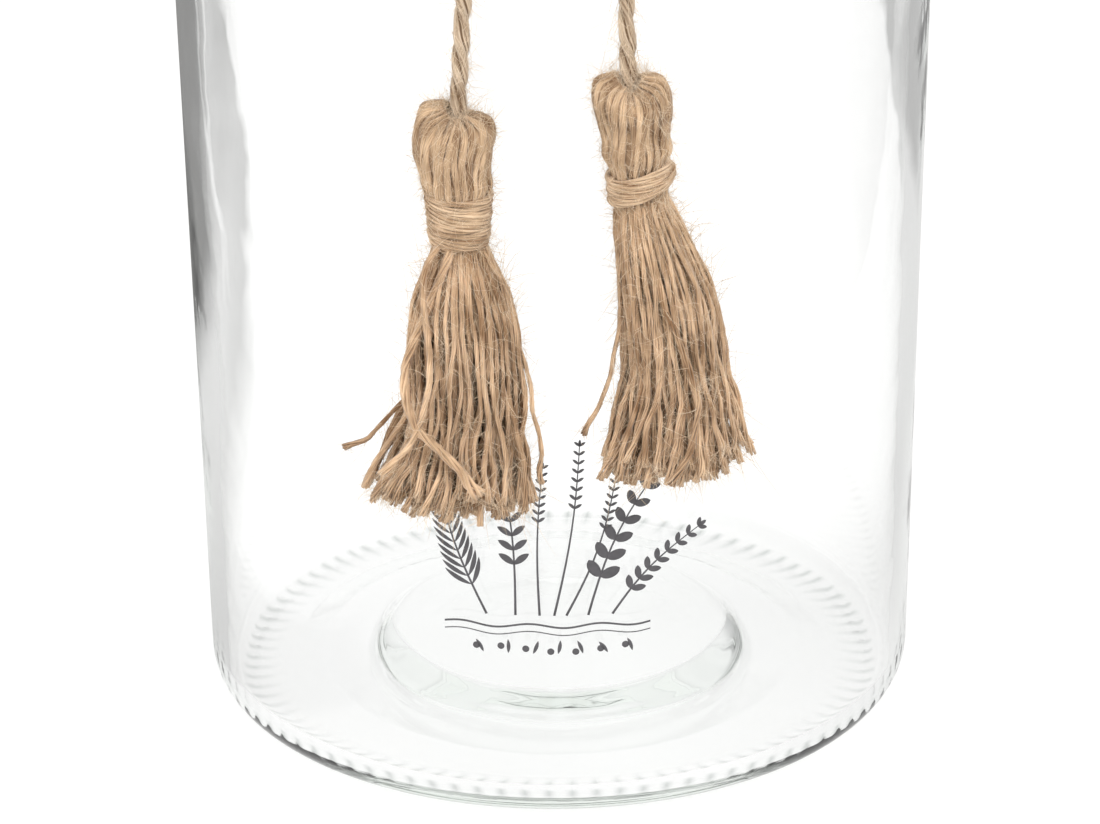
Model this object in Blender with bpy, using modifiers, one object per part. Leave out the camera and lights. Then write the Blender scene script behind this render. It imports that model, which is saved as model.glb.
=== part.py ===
"""A glass jar vase whose neck is wound with jute rope, with two tassels hanging from the knot.

Metres, +Z up. The origin is the centre of the ring that the jar stands on, and the knot faces -Y.
"""
import math
from dataclasses import dataclass

import bmesh
import bpy
import numpy as np
from mathutils import Matrix, Vector

MM = 0.001
TOUCH = 0.3 * MM                    # left between pieces that touch

# The glass jar
JAR_HEIGHT = 250.0 * MM
BODY_RADIUS = 80.0 * MM             # outside, just above the heel
BODY_FLARE = 0.004                  # the wall leans out by this share of its height
WALL = 4.0 * MM
HEEL_RADIUS = 8.6 * MM
INNER_HEEL_RADIUS = 9.0 * MM
BEARING_WIDTH = 8.5 * MM            # flat ring that the jar stands on
FLOOR = 6.0 * MM                    # the floor's height inside, by the heel
RECESS = 1.2 * MM                   # the glass inside the bearing ring stands this far off the table
PUSH_UP_RADIUS = 41.6 * MM          # foot of the raised round middle of the floor
PUSH_UP_HEIGHT = 4.8 * MM
PUSH_UP_SLOPE = 3.4 * MM            # how far in its side leans
PUSH_UP_ROUND = 2.0 * MM
SHOULDER_SLOPE = math.radians(20)
SHOULDER_RADIUS = 18.0 * MM
NECK_RADIUS = 58.0 * MM             # outside
NECK_HEIGHT = 34.0 * MM             # from where the shoulder's slope meets it, with the rim
NECK_FILLET = 5.0 * MM
RIM_OVERHANG = 4.5 * MM
RIM_HEIGHT = 9.0 * MM
RIM_FILLET = 4.2 * MM
MOUTH_FILLET = 2.5 * MM             # round the rim's inner edge
JAR_SIDES = 60

# The grip marks pressed into the outer half of the bearing ring, where it turns up into the heel
MARK_COUNT = 90
MARK_TURN = math.radians(7)         # how far round the heel's curve their middles lie
MARK_LENGTH = 5.0 * MM
MARK_WIDTH = 2.2 * MM
MARK_DEPTH = 0.45 * MM

# The rope, wound round the neck and tied in a reef knot
ROPE = 3.0 * MM
NECK_TURNS = 3
TURN_GAP = 0.5 * MM                 # between neighbouring turns
LOOP_POINTS = 24
BEND_STEP = 1.7 * MM                # closest that the rope's points come in the knot
KNOT_BELOW_RIM = 2.71 * MM
KNOT_GAP = 1.0 * MM                 # between strands of the knot that cross
KNOT_STANDS_OFF = 0.5 * MM          # from the winding behind it
LEAD_ANGLE = math.radians(45)       # the winding reaches the glass this far round from the knot

# Half of one of the knot's two bights: places across, up and forward, in rope diameters, but forward in
# layers. It runs from the upper leg, which lies in front, past the crossing behind, to the nose in front.
HALF_BIGHT = (
    (-3.2, 0.80, 0.3), (-2.5, 0.68, 0.9), (-1.8, 0.64, 1.0), (-0.95, 0.66, 0.0), (-0.48, 0.88, -0.7),
    (0.0, 1.28, -1.0), (0.48, 1.68, -0.7), (0.95, 1.93, 0.0), (1.62, 1.5, 0.85), (1.98, 0.75, 1.0),
    (2.05, 0.0, 1.0),
)
# From the lower leg to where the tail begins, in rope diameters
KNOT_EXIT = ((3.55, 0.0, -1.35), (3.72, 0.0, -2.1))
# From the knot to the first turn: shares of the lead angle, and of the way out to the knot
LEAD_IN = ((0.42, 0.62), (0.69, 0.2))
# From the last turn up over the others to the knot: shares of the lead angle and of the climb, and how
# far out the rope lies, in rope diameters from the turns' own middle
LEAD_OUT = ((0.83, 0.04, 0.65), (0.69, 0.26, 1.22), (0.53, 0.56, 1.38), (0.37, 0.86, 1.58))

# The free tails of the rope, from the knot over the shoulder and down the wall
TAIL_ON_SHOULDER = (38, 18, 2)      # degrees up round the shoulder's curve, where the tail is guided
TAIL_LIFT = 0.4 * MM                # how far off the glass it runs there, besides the touching gap

# The tassels: sizes are from each one's hinge, which is the rounded end of its tail
TWINE = 1.0 * MM
TWINE_GAP = 0.45 * MM               # between neighbouring turns
TWINE_POINTS = 12                   # in each of its small turns
GROOVE_FLARE = 0.28                 # how fast the valley for the rope opens upwards
STRANDS = 150                       # in each tassel
STRAND_FILL = (0.79, 0.63, 0.5)     # a strand's width, as a share of its room: at the top, bend and end
SLICE = 1.6 * MM                    # thickness of the backing that carries the strands
STOP_KNOT_RADIUS = 2.9 * MM
STOP_KNOT_DROP = 8.0 * MM           # its middle, below the hinge
SKIRT_BEND = 0.28                   # share of the skirt's length where it stops flaring fast
SKIRT_DEPTH = 0.62                  # front to back, as a share of side to side, at the ends
STRAND_WANDER = 0.12                # share of the space between neighbours that an end may wander
STRAND_RAGGED = 3.5 * MM            # how uneven the cut ends are


@dataclass
class Tassel:
    name: str
    side: int                       # -1 left, 1 right
    across: float                   # hinge, from the jar's middle
    hang: float                     # hinge, below the knot's middle
    lean: float                     # sideways, of the whole tassel
    head_top: float                 # the folded yarn's lobes stand this far above the hinge
    head_radius: float
    head_widest: float
    head_length: float              # down to the waist
    waist_top: float
    waist_bottom: float
    turns: int
    twine_tilt: float
    skirt_length: float
    skirt_middle: float
    skirt_end: float


TASSELS = (
    Tassel(name="left", side=-1, across=-18.4 * MM, hang=71.0 * MM, lean=math.radians(-0.6),
           head_top=1.7 * MM, head_radius=7.8 * MM, head_widest=8.5 * MM, head_length=17.0 * MM,
           waist_top=5.7 * MM, waist_bottom=4.9 * MM, turns=6, twine_tilt=math.radians(2),
           skirt_length=57.0 * MM, skirt_middle=9.4 * MM, skirt_end=16.5 * MM),
    Tassel(name="right", side=1, across=14.2 * MM, hang=65.5 * MM, lean=math.radians(6),
           head_top=2.3 * MM, head_radius=7.4 * MM, head_widest=7.0 * MM, head_length=16.0 * MM,
           waist_top=5.6 * MM, waist_bottom=5.2 * MM, turns=4, twine_tilt=math.radians(13),
           skirt_length=58.0 * MM, skirt_middle=9.0 * MM, skirt_end=14.3 * MM),
)


def start_scene():
    """Clear the scene and make the two collections."""
    for thing in list(bpy.data.objects):
        bpy.data.objects.remove(thing, do_unlink=True)
    made = []
    for name in ("glass_jar_vase", "cutters"):
        collection = bpy.data.collections.new(name)
        bpy.context.scene.collection.children.link(collection)
        made.append(collection)
    return made


VASE, CUTTERS = start_scene()


def finish(name, colour, roughness, **extra):
    """A Principled material; colour is linear RGB."""
    material = bpy.data.materials.new(name)
    material.use_nodes = True
    shader = material.node_tree.nodes["Principled BSDF"]
    shader.inputs["Base Color"].default_value = (*colour, 1.0)
    shader.inputs["Roughness"].default_value = roughness
    for socket, value in extra.items():
        shader.inputs[socket.replace("_", " ")].default_value = value
    return material


GLASS = finish("clear_glass", (0.93, 0.96, 0.94), 0.02, IOR=1.52, Transmission_Weight=1.0)
JUTE_ROPE = finish("jute_rope", (0.56, 0.45, 0.33), 0.85)
JUTE_YARN = finish("jute_yarn", (0.40, 0.25, 0.14), 0.9)
JUTE_TWINE = finish("jute_twine", (0.53, 0.38, 0.25), 0.85)


def link(name, data, material, parent=None):
    """Put a finished mesh or curve in the vase's collection, under its joint's empty if it has one."""
    thing = bpy.data.objects.new(name, data)
    VASE.objects.link(thing)
    data.materials.clear()
    data.materials.append(material)
    thing.parent = parent
    return thing


def link_cutter(name, data):
    thing = bpy.data.objects.new(name, data)
    CUTTERS.objects.link(thing)
    thing.hide_render = True
    thing.display_type = "WIRE"
    return thing


def boolean(thing, other, operation):
    change = thing.modifiers.new(operation.lower(), "BOOLEAN")
    change.operation = operation
    change.solver = "EXACT"
    change.object = other
    return change


def empty(name, place, parent=None, turn=None):
    """A joint's empty: its origin is on the joint's axis."""
    holder = bpy.data.objects.new(name, None)
    holder.empty_display_size = 10 * MM
    VASE.objects.link(holder)
    holder.parent = parent
    holder.location = place
    if turn:
        holder.rotation_euler = turn
    return holder


def rounded(corners, degrees_a_step=22.5):
    """An outline from (radius, height, fillet) corners, each fillet an arc of short straight steps. Two
    fillets that a side between them is too short for share that side."""
    places = [Vector(corner[:2]) for corner in corners]
    ways = [(b - a).normalized() for a, b in zip(places, places[1:])]
    halves = [0.5 * (math.pi - a.angle(b)) for a, b in zip(ways, ways[1:])]
    reaches = [0] + [corner[2] / math.tan(half) for corner, half in zip(corners[1:], halves)] + [0]
    room = [(b - a).length / max(reach + after, 1e-9)
            for a, b, reach, after in zip(places, places[1:], reaches, reaches[1:])]
    points = []
    for i, here in enumerate(places):
        if reaches[i] == 0:
            points.append(here)
            continue
        half, back, ahead = halves[i - 1], -ways[i - 1], ways[i]
        reach = reaches[i] * min(1, room[i - 1], room[i])
        fillet = reach * math.tan(half)
        middle = here + (back + ahead).normalized() * fillet / math.sin(half)
        start = here + back * reach - middle
        sweep = (math.pi - 2 * half) * (1 if back.cross(ahead) < 0 else -1)
        steps = max(2, round(math.degrees(abs(sweep)) / degrees_a_step))
        for k in range(steps + 1):
            points.append(middle + Matrix.Rotation(sweep * k / steps, 2) @ start)
    return points


def turned(name, outline, sides):
    """A closed solid turned about Z from (radius, height) points, axis to axis, up the hollow side first."""
    mesh = bpy.data.meshes.new(name)
    mesh.from_pydata([(p[0], 0, p[1]) for p in outline], [(i, i + 1) for i in range(len(outline) - 1)], [])
    thing = bpy.data.objects.new(name, mesh)
    screw = thing.modifiers.new("turn", "SCREW")
    screw.steps = screw.render_steps = sides
    screw.use_merge_vertices = True
    screw.merge_threshold = 0.00001
    screw.use_normal_calculate = False
    return thing


def as_mesh(thing):
    """The evaluated mesh of an object that is in the scene only for this, welded and ready to shade."""
    CUTTERS.objects.link(thing)
    bpy.context.view_layer.update()
    mesh = bpy.data.meshes.new_from_object(thing.evaluated_get(bpy.context.evaluated_depsgraph_get()))
    mesh.transform(thing.matrix_world)
    work = bmesh.new()
    work.from_mesh(mesh)
    bmesh.ops.remove_doubles(work, verts=work.verts, dist=0.00001)
    bmesh.ops.recalc_face_normals(work, faces=work.faces)
    work.to_mesh(mesh)
    work.free()
    bpy.data.objects.remove(thing, do_unlink=True)
    return mesh


def wall_radius(height):
    """Outside radius of the straight part of the jar's wall."""
    return BODY_RADIUS + BODY_FLARE * (height - HEEL_RADIUS)


def neck_bottom():
    """Where the shoulder's slope meets the neck."""
    return JAR_HEIGHT - NECK_HEIGHT


def shoulder_height():
    """Where the wall meets the shoulder's slope."""
    return neck_bottom() - (BODY_RADIUS - NECK_RADIUS) * math.tan(SHOULDER_SLOPE)


def jar_corners():
    """Corners of the jar's section, from the middle of its floor up the inside and down the outside."""
    bearing_inner = BODY_RADIUS - HEEL_RADIUS - BEARING_WIDTH
    shoulder, neck = shoulder_height(), neck_bottom()
    body_top = wall_radius(shoulder)
    drop = WALL / math.cos(SHOULDER_SLOPE) - WALL * math.tan(SHOULDER_SLOPE)
    step_top = PUSH_UP_RADIUS - PUSH_UP_SLOPE
    rim, rim_bottom = NECK_RADIUS + RIM_OVERHANG, JAR_HEIGHT - RIM_HEIGHT
    return [
        (0, FLOOR + PUSH_UP_HEIGHT, 0),
        (step_top, FLOOR + PUSH_UP_HEIGHT, PUSH_UP_ROUND),
        (PUSH_UP_RADIUS, FLOOR, PUSH_UP_ROUND),
        (BODY_RADIUS - WALL, FLOOR, INNER_HEEL_RADIUS),
        (body_top - WALL, shoulder - drop, SHOULDER_RADIUS - WALL),
        (NECK_RADIUS - WALL, neck - drop, NECK_FILLET + WALL),
        (NECK_RADIUS - WALL, JAR_HEIGHT, MOUTH_FILLET),
        (rim, JAR_HEIGHT, RIM_FILLET),
        (rim, rim_bottom, RIM_FILLET),
        (NECK_RADIUS, rim_bottom, 0),
        (NECK_RADIUS, neck, NECK_FILLET),
        (body_top, shoulder, SHOULDER_RADIUS),
        (BODY_RADIUS, 0, HEEL_RADIUS),
        (bearing_inner, 0, 0),
        (bearing_inner - 2 * RECESS, RECESS, 0),
        (PUSH_UP_RADIUS, RECESS, PUSH_UP_ROUND),
        (step_top, RECESS + PUSH_UP_HEIGHT, PUSH_UP_ROUND),
        (0, RECESS + PUSH_UP_HEIGHT, 0),
    ]


def grip_marks():
    """One cutter for the ring of short radial marks, each a square bar laid on edge along the heel."""
    work = bmesh.new()
    middle = BODY_RADIUS - HEEL_RADIUS + HEEL_RADIUS * math.sin(MARK_TURN)
    rise = HEEL_RADIUS * (1 - math.cos(MARK_TURN))
    place = Matrix.Translation((middle, 0, rise - MARK_WIDTH / 2 + MARK_DEPTH))
    lay = Matrix.Rotation(math.pi / 2 - MARK_TURN, 4, "Y")
    for i in range(MARK_COUNT):
        turn = Matrix.Rotation(2 * math.pi * i / MARK_COUNT, 4, "Z")
        bmesh.ops.create_cone(work, cap_ends=True, segments=4, radius1=MARK_WIDTH / 2,
                              radius2=MARK_WIDTH / 2, depth=MARK_LENGTH, matrix=turn @ place @ lay)
    mesh = bpy.data.meshes.new("grip_marks")
    work.to_mesh(mesh)
    work.free()
    return link_cutter("grip_marks", mesh)


def glass_jar():
    mesh = as_mesh(turned("glass_jar_blank", rounded(jar_corners()), JAR_SIDES))
    mesh.shade_smooth()
    mesh.set_sharp_from_angle(angle=math.radians(35))
    jar = link("glass_jar", mesh, GLASS)
    boolean(jar, grip_marks(), "DIFFERENCE")


def smooth_curve(stations):
    """A fine line on one smooth curve through the stations: cubic pieces whose slope at a station is
    that of the line between its neighbours."""
    p = np.array(stations, dtype=float)
    t = np.concatenate([[0], np.cumsum(np.sqrt(np.linalg.norm(np.diff(p, axis=0), axis=1)))])
    slope = np.gradient(p, t, axis=0)
    fine = []
    for i in range(len(p) - 1):
        span = t[i + 1] - t[i]
        u = np.linspace(0, 1, 24, endpoint=False)[:, None]
        fine.append((2 * u**3 - 3 * u**2 + 1) * p[i] + (u**3 - 2 * u**2 + u) * span * slope[i]
                    + (3 * u**2 - 2 * u**3) * p[i + 1] + (u**3 - u**2) * span * slope[i + 1])
    return np.vstack(fine + [p[-1:]])


def along(points):
    """Distance along a line of points, at each point."""
    return np.concatenate([[0], np.cumsum(np.linalg.norm(np.diff(points, axis=0), axis=1))])


def resample(fine, measure, count):
    """This many points on a fine line, at equal steps of a measure that grows along it."""
    even = np.linspace(0, measure[-1], count)
    return np.stack([np.interp(even, measure, fine[:, k]) for k in range(3)], axis=1)


def even_bends(stations, bend, longest, shortest):
    """Points on the smooth curve, closer together where it bends: each step turns by up to the bend
    and is no longer than the longest, but tight bends get no steps below the shortest."""
    fine = smooth_curve(stations)
    place = along(fine)
    way = np.diff(fine, axis=0)
    way /= np.linalg.norm(way, axis=1)[:, None]
    turn = np.arccos(np.clip((way[1:] * way[:-1]).sum(axis=1), -1, 1))
    reach = (place[2:] - place[:-2]) / 2
    density = np.clip(turn / reach / bend + 1 / longest, 0, 1 / shortest)
    density = np.concatenate([[density[0]], density, [density[-1]]])
    measure = np.concatenate([[0], np.cumsum((density[1:] + density[:-1]) / 2 * np.diff(place))])
    return resample(fine, measure, math.ceil(measure[-1]) + 1)


def ball_end(points, radius, at_start):
    """Three more points past an end, with shares of the radius that round the end off as a ball."""
    p = points[::-1] if at_start else points
    way = p[-1] - p[-2]
    way = way / np.linalg.norm(way)
    steps = [0.5, 0.85, 0.985]
    extra = np.array([p[-1] + way * radius * s for s in steps])
    shares = [math.sqrt(1 - s * s) for s in steps]
    return (extra[::-1], shares[::-1]) if at_start else (extra, shares)


def tube(name, points, diameter, material, parent=None, resolution=1, balls=()):
    """A rope: one unbroken round tube along the points, with closed ends."""
    shares = [1.0] * len(points)
    for end in balls:
        extra, thin = ball_end(points, diameter / 2, end == "start")
        if end == "start":
            points, shares = np.vstack([extra, points]), thin + shares
        else:
            points, shares = np.vstack([points, extra]), shares + thin
    curve = bpy.data.curves.new(name, "CURVE")
    curve.dimensions = "3D"
    curve.bevel_depth = diameter / 2
    curve.bevel_resolution = resolution
    curve.use_fill_caps = True
    spline = curve.splines.new("POLY")
    spline.points.add(len(points) - 1)
    for point, place, share in zip(spline.points, points, shares):
        point.co = (*place, 1)
        point.radius = share
    return link(name, curve, material, parent)


def least_gap(points, diameter):
    """The least free space between stretches of one rope that lie over three diameters apart along it."""
    length = along(points)[-1]
    p = resample(points, along(points), math.ceil(length / (diameter / 4)))
    place = along(p)
    apart = np.linalg.norm(p[:, None] - p[None], axis=2)
    apart[np.abs(place[:, None] - place[None]) < 3 * diameter] = np.inf
    return apart.min() - diameter


def report_gap(name, points, diameter):
    gap = least_gap(points, diameter)
    print(f"{name}: least gap to itself {gap / MM:.2f} mm (its turns are clear of each other over 0.4 mm)")


def on_neck(angle, radius, height):
    """A point round the neck; the angle runs from the front towards the left."""
    return (-radius * math.sin(angle), -radius * math.cos(angle), height)


def winding_radius():
    """The loops' points lie far enough out for the straight steps between them to clear the neck."""
    return (NECK_RADIUS + TOUCH + ROPE / 2) / math.cos(math.pi / LOOP_POINTS)


def knot_layer():
    """Strands of the knot that cross stand this far before or behind its middle."""
    return (ROPE + KNOT_GAP) / 2


def knot_middle():
    """The knot's middle lies in front of the winding, clear of its strands that pass behind, and so far
    down that its highest strand clears the rim."""
    highest = max(up for _, up, _ in HALF_BIGHT) * ROPE + ROPE / 2
    out = winding_radius() + ROPE + KNOT_STANDS_OFF + knot_layer()
    return Vector((0, -out, JAR_HEIGHT - RIM_HEIGHT - KNOT_BELOW_RIM - highest))


def bight(side):
    """One of the reef knot's two bights, from its upper leg round its nose to its lower leg. The left
    one's legs lie before the right one's nose, its sides pass behind the right one's legs, and its nose
    comes forward again."""
    whole = HALF_BIGHT + tuple((x, -z, y) for x, z, y in HALF_BIGHT[-2::-1])
    middle = knot_middle()
    return [middle + Vector((-side * x * ROPE, side * y * knot_layer(), z * ROPE)) for x, z, y in whole]


def knot_exit(side):
    """The last places of the rope in the knot, below the bight's lower leg. The tail begins at the end."""
    return [knot_middle() + Vector((side * x, y, z)) * ROPE for x, y, z in KNOT_EXIT]


def neck_rope_path():
    """The whole rope: out of the left tail, through the left bight, round the neck, down a turn each time,
    up over the turns at the right, and through the right bight to the right tail."""
    step = 2 * math.pi / LOOP_POINTS
    middle = knot_middle()
    top = middle.z + HALF_BIGHT[0][1] * ROPE
    first, last = LEAD_ANGLE, 2 * math.pi * NECK_TURNS - LEAD_ANGLE
    angles = np.linspace(first, last, round((last - first) / step) + 1)
    radius = winding_radius()
    turns = [on_neck(a, radius, top - (ROPE + TURN_GAP) * (a - first) / (2 * math.pi)) for a in angles]
    low = turns[-1][2]
    lead_in = [on_neck(LEAD_ANGLE * share, radius + out * (-middle.y - radius), top)
               for share, out in LEAD_IN]
    lead_out = [on_neck(-LEAD_ANGLE * share, radius + out * ROPE, low + climb * (top - low))
                for share, climb, out in LEAD_OUT]
    stations = (knot_exit(-1)[::-1] + bight(-1)[::-1] + lead_in + turns + lead_out + bight(1)
                + knot_exit(1))
    return [tuple(s) for s in stations]


def neck_rope():
    points = even_bends(neck_rope_path(), 2 * math.pi / LOOP_POINTS, 200 * MM, BEND_STEP)
    report_gap("neck_rope", points, ROPE)
    tube("neck_rope", points, ROPE, JUTE_ROPE)


def hinge_height(tassel):
    return knot_middle().z - tassel.hang


def hinge_distance(tassel):
    """How far the tassel's hinge is from the jar's middle line: its head just clears the wall."""
    return wall_radius(hinge_height(tassel)) + TOUCH + tassel.head_radius


def hinge_place(tassel):
    out = hinge_distance(tassel)
    return Vector((tassel.across, -math.sqrt(out ** 2 - tassel.across ** 2), hinge_height(tassel)))


def facing(tassel):
    """Turn about Z that points a tassel's front straight out from the glass behind it."""
    return math.asin(tassel.across / hinge_distance(tassel))


def tail_route(tassel):
    """The tail's stations: out of the knot, round the shoulder just clear of the glass, and down in
    front of the wall to the middle of the tassel's head."""
    before, start = knot_exit(tassel.side)
    way = (start - before).normalized()
    first = start + way * (TOUCH + ROPE / 2)
    bend_height = shoulder_height() - SHOULDER_RADIUS / math.tan(math.pi / 4 + SHOULDER_SLOPE / 2)
    bend_radius = wall_radius(bend_height) - SHOULDER_RADIUS
    off = SHOULDER_RADIUS + ROPE / 2 + TOUCH + TAIL_LIFT
    end = hinge_place(tassel)
    stations = [first, first + way * ROPE]
    for degrees in TAIL_ON_SHOULDER:
        angle = math.radians(degrees)
        out = bend_radius + off * math.cos(angle)
        height = bend_height + off * math.sin(angle)
        share = (first.z - height) / (first.z - end.z)
        across = first.x + (end.x - first.x) * math.sqrt(share)
        stations.append(Vector((across, -math.sqrt(out ** 2 - across ** 2), height)))
    last = stations[-1]
    stations += [last.lerp(end, 0.35), last.lerp(end, 0.7), end]
    return stations


def tail(tassel, parent):
    points = even_bends([tuple(p) for p in tail_route(tassel)], math.radians(12), 3 * ROPE, ROPE / 2)
    tube(f"{tassel.name}_tail", points - np.array(parent.location), ROPE, JUTE_ROPE, parent,
         balls=("start", "end")).matrix_parent_inverse = Matrix.Rotation(-facing(tassel), 4, "Z")


def waist_height(tassel):
    """The waist is as high as the twine wound round it, with its tilt."""
    tilt = 2 * tassel.waist_top * math.tan(tassel.twine_tilt)
    return tassel.turns * (TWINE + TWINE_GAP) + TWINE + tilt


def waist_end(tassel):
    return -tassel.head_length - waist_height(tassel)


def waist_radius(tassel, height):
    share = (-tassel.head_length - height) / waist_height(tassel)
    return tassel.waist_top + (tassel.waist_bottom - tassel.waist_top) * share


def stop_knot_outline(grow, top):
    """The rope's end inside the head: a short straight stub over a round knot, or the hollow for it."""
    stub, ball = ROPE / 2 + grow, STOP_KNOT_RADIUS + grow
    start = math.asin(stub / ball)
    turns = [start + (math.pi - start) * k / 6 for k in range(7)]
    return ([(0, top), (stub, top)]
            + [(ball * math.sin(a), ball * math.cos(a) - STOP_KNOT_DROP) for a in turns[:-1]]
            + [(0, -ball - STOP_KNOT_DROP)])


def leaned(tassel, mesh):
    mesh.transform(Matrix.Rotation(-tassel.lean, 4, "Y"))
    return mesh


def rope_groove(tassel, parent):
    """The cutter for the valley between the folded yarn's lobes, where the rope lies and swings:
    round at the bottom, open above, and as long as the head is deep."""
    work = bmesh.new()
    bottom = ROPE / 2 + TOUCH
    ring = [(bottom * math.sin(a), bottom * -math.cos(a)) for a in np.radians(np.arange(-80, 81, 20))]
    top = tassel.head_top + ROPE
    ring += [(ring[-1][0] + GROOVE_FLARE * top, top), (ring[0][0] - GROOVE_FLARE * top, top)]
    face = work.faces.new([work.verts.new((x, -2 * tassel.head_radius, z)) for x, z in ring])
    grown = bmesh.ops.extrude_face_region(work, geom=[face])
    moved = [v for v in grown["geom"] if isinstance(v, bmesh.types.BMVert)]
    bmesh.ops.translate(work, verts=moved, vec=(0, 4 * tassel.head_radius, 0))
    bmesh.ops.recalc_face_normals(work, faces=work.faces)
    mesh = bpy.data.meshes.new(f"{tassel.name}_rope_groove")
    work.to_mesh(mesh)
    work.free()
    cutter = link_cutter(f"{tassel.name}_rope_groove", leaned(tassel, mesh))
    cutter.parent = parent
    return cutter


def tassel_head(tassel, parent):
    """The hank of yarn, folded over the rope: two lobes, a round belly and the waist under the twine."""
    r, top = tassel.head_radius, tassel.head_top
    belly = smooth_curve([
        (0, 0, 0.75 * top), (0.46 * r, 0, top), (0.82 * r, 0, top - 0.3 * r), (r, 0, -tassel.head_widest),
        (0.92 * r, 0, -0.5 * (tassel.head_widest + tassel.head_length)),
        (tassel.waist_top, 0, -tassel.head_length),
    ])
    belly = resample(belly, along(belly), 10)
    outline = [(p[0], p[2]) for p in belly] + [(tassel.waist_bottom, waist_end(tassel)), (0, waist_end(tassel))]
    mesh = as_mesh(turned(f"{tassel.name}_head_blank", outline, 20))
    mesh.shade_smooth()
    head = link(f"{tassel.name}_tassel_head", leaned(tassel, mesh), JUTE_YARN, parent)
    boolean(head, rope_groove(tassel, parent), "DIFFERENCE")
    hollow = as_mesh(turned("hollow", stop_knot_outline(TOUCH, 0), 10))
    cutter = link_cutter(f"{tassel.name}_knot_hollow", leaned(tassel, hollow))
    cutter.parent = parent
    boolean(head, cutter, "DIFFERENCE")


def stop_knot(tassel, parent):
    mesh = as_mesh(turned("stop_knot", stop_knot_outline(0, -ROPE / 2 - TOUCH), 10))
    mesh.shade_smooth()
    link(f"{tassel.name}_stop_knot", leaned(tassel, mesh), JUTE_ROPE, parent)


def binding(tassel, parent):
    """Twine wound round the waist, each turn a step below the last, with a straight end at each side."""
    turns = np.linspace(0, tassel.turns, tassel.turns * TWINE_POINTS + 1)
    tilt = math.tan(tassel.twine_tilt)
    start = -tassel.head_length - TWINE / 2 - tassel.waist_top * tilt
    points = []
    for t in turns:
        angle = 2 * math.pi * t
        height = start - t * (TWINE + TWINE_GAP) + tassel.waist_top * tilt * math.cos(angle)
        out = (waist_radius(tassel, height) + TOUCH + TWINE / 2) / math.cos(math.pi / TWINE_POINTS)
        points.append((out * math.cos(angle), -out * math.sin(angle), height))
    points = np.array(points)
    ends = [points[k] + (points[k] - points[j]) * TWINE / np.linalg.norm(points[k] - points[j])
            for k, j in ((0, 1), (-1, -2))]
    points = np.vstack([ends[0], points, ends[1]]) @ np.array(Matrix.Rotation(tassel.lean, 3, "Y"))
    report_gap(f"{tassel.name}_tassel_binding", points, TWINE)
    tube(f"{tassel.name}_tassel_binding", points, TWINE, JUTE_TWINE, parent)


def strand_places():
    """Evenly spread places in a round of radius 1, each a golden angle on from the last."""
    i = np.arange(STRANDS) + 0.5
    reach, angle = np.sqrt(i / STRANDS), i * math.pi * (3 - math.sqrt(5))
    return np.stack([reach * np.cos(angle), reach * np.sin(angle)], axis=1)


def skirt_spread(tassel):
    """The skirt's three levels, top, bend and end: the share of its length, its half width and half depth,
    and a strand's width there."""
    levels = []
    widths = (tassel.waist_bottom, tassel.skirt_middle, tassel.skirt_end)
    for share, width, fill in zip((0, SKIRT_BEND, 1), widths, STRAND_FILL):
        depth = width * (1 + (SKIRT_DEPTH - 1) * share)
        levels.append((share, width, depth, fill * math.sqrt(width * depth * math.pi / STRANDS)))
    return levels


def strand_lines(tassel):
    """Each strand's three places: in the backing, where the skirt stops flaring fast, and at its cut
    end. All strands spread alike from their places, and only the ends wander, so none cross."""
    chance = np.random.default_rng(STRANDS + tassel.side)
    places = strand_places()
    top = waist_end(tassel) - TOUCH
    lines = []
    for share, width, depth, strand in skirt_spread(tassel):
        spot = places.copy()
        drop = np.full(STRANDS, SLICE / 2 + share * (tassel.skirt_length - SLICE / 2))
        if share == 0:
            spot *= 1 - strand / width
        if share == 1:
            spot += chance.uniform(-1, 1, spot.shape) * STRAND_WANDER * math.sqrt(math.pi / STRANDS)
            drop += chance.uniform(-1, 0.4, STRANDS) * STRAND_RAGGED
        back = min(0, tassel.head_radius - depth - strand)
        lines.append(np.stack([spot[:, 0] * width, spot[:, 1] * depth + back, top - drop], axis=1))
    return np.stack(lines, axis=1)


def skirt(tassel, parent):
    """The hank's loose ends: strands of three sides, fused to the round slice that carries them."""
    section = bpy.data.curves.new("strand_section", "CURVE")
    spline = section.splines.new("POLY")
    spline.points.add(2)
    spline.use_cyclic_u = True
    for k, point in enumerate(spline.points):
        angle = 2 * math.pi * k / 3
        point.co = (MM * math.cos(angle), MM * math.sin(angle), 0, 1)
    section_holder = bpy.data.objects.new("strand_section", section)
    curve = bpy.data.curves.new("strands", "CURVE")
    curve.dimensions = "3D"
    curve.bevel_mode = "OBJECT"
    curve.bevel_object = section_holder
    curve.use_fill_caps = True
    section_shares = [strand / 2 / MM for _, _, _, strand in skirt_spread(tassel)]
    for line in strand_lines(tassel):
        spline = curve.splines.new("POLY")
        spline.points.add(len(line) - 1)
        spline.points.foreach_set("co", np.hstack([line, np.ones((len(line), 1))]).ravel())
        spline.points.foreach_set("radius", section_shares)
    strands = link_cutter(f"{tassel.name}_strands",
                          leaned(tassel, as_mesh(bpy.data.objects.new("strands", curve))))
    strands.parent = parent
    bpy.data.objects.remove(section_holder)
    top = waist_end(tassel) - TOUCH
    work = bmesh.new()
    bmesh.ops.create_cone(work, cap_ends=True, segments=12, radius1=tassel.waist_bottom,
                          radius2=tassel.waist_bottom, depth=SLICE,
                          matrix=Matrix.Translation((0, 0, top - SLICE / 2)))
    mesh = bpy.data.meshes.new(f"{tassel.name}_tassel_skirt")
    work.to_mesh(mesh)
    work.free()
    slice_and_strands = link(mesh.name, leaned(tassel, mesh), JUTE_YARN, parent)
    boolean(slice_and_strands, strands, "UNION")


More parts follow.
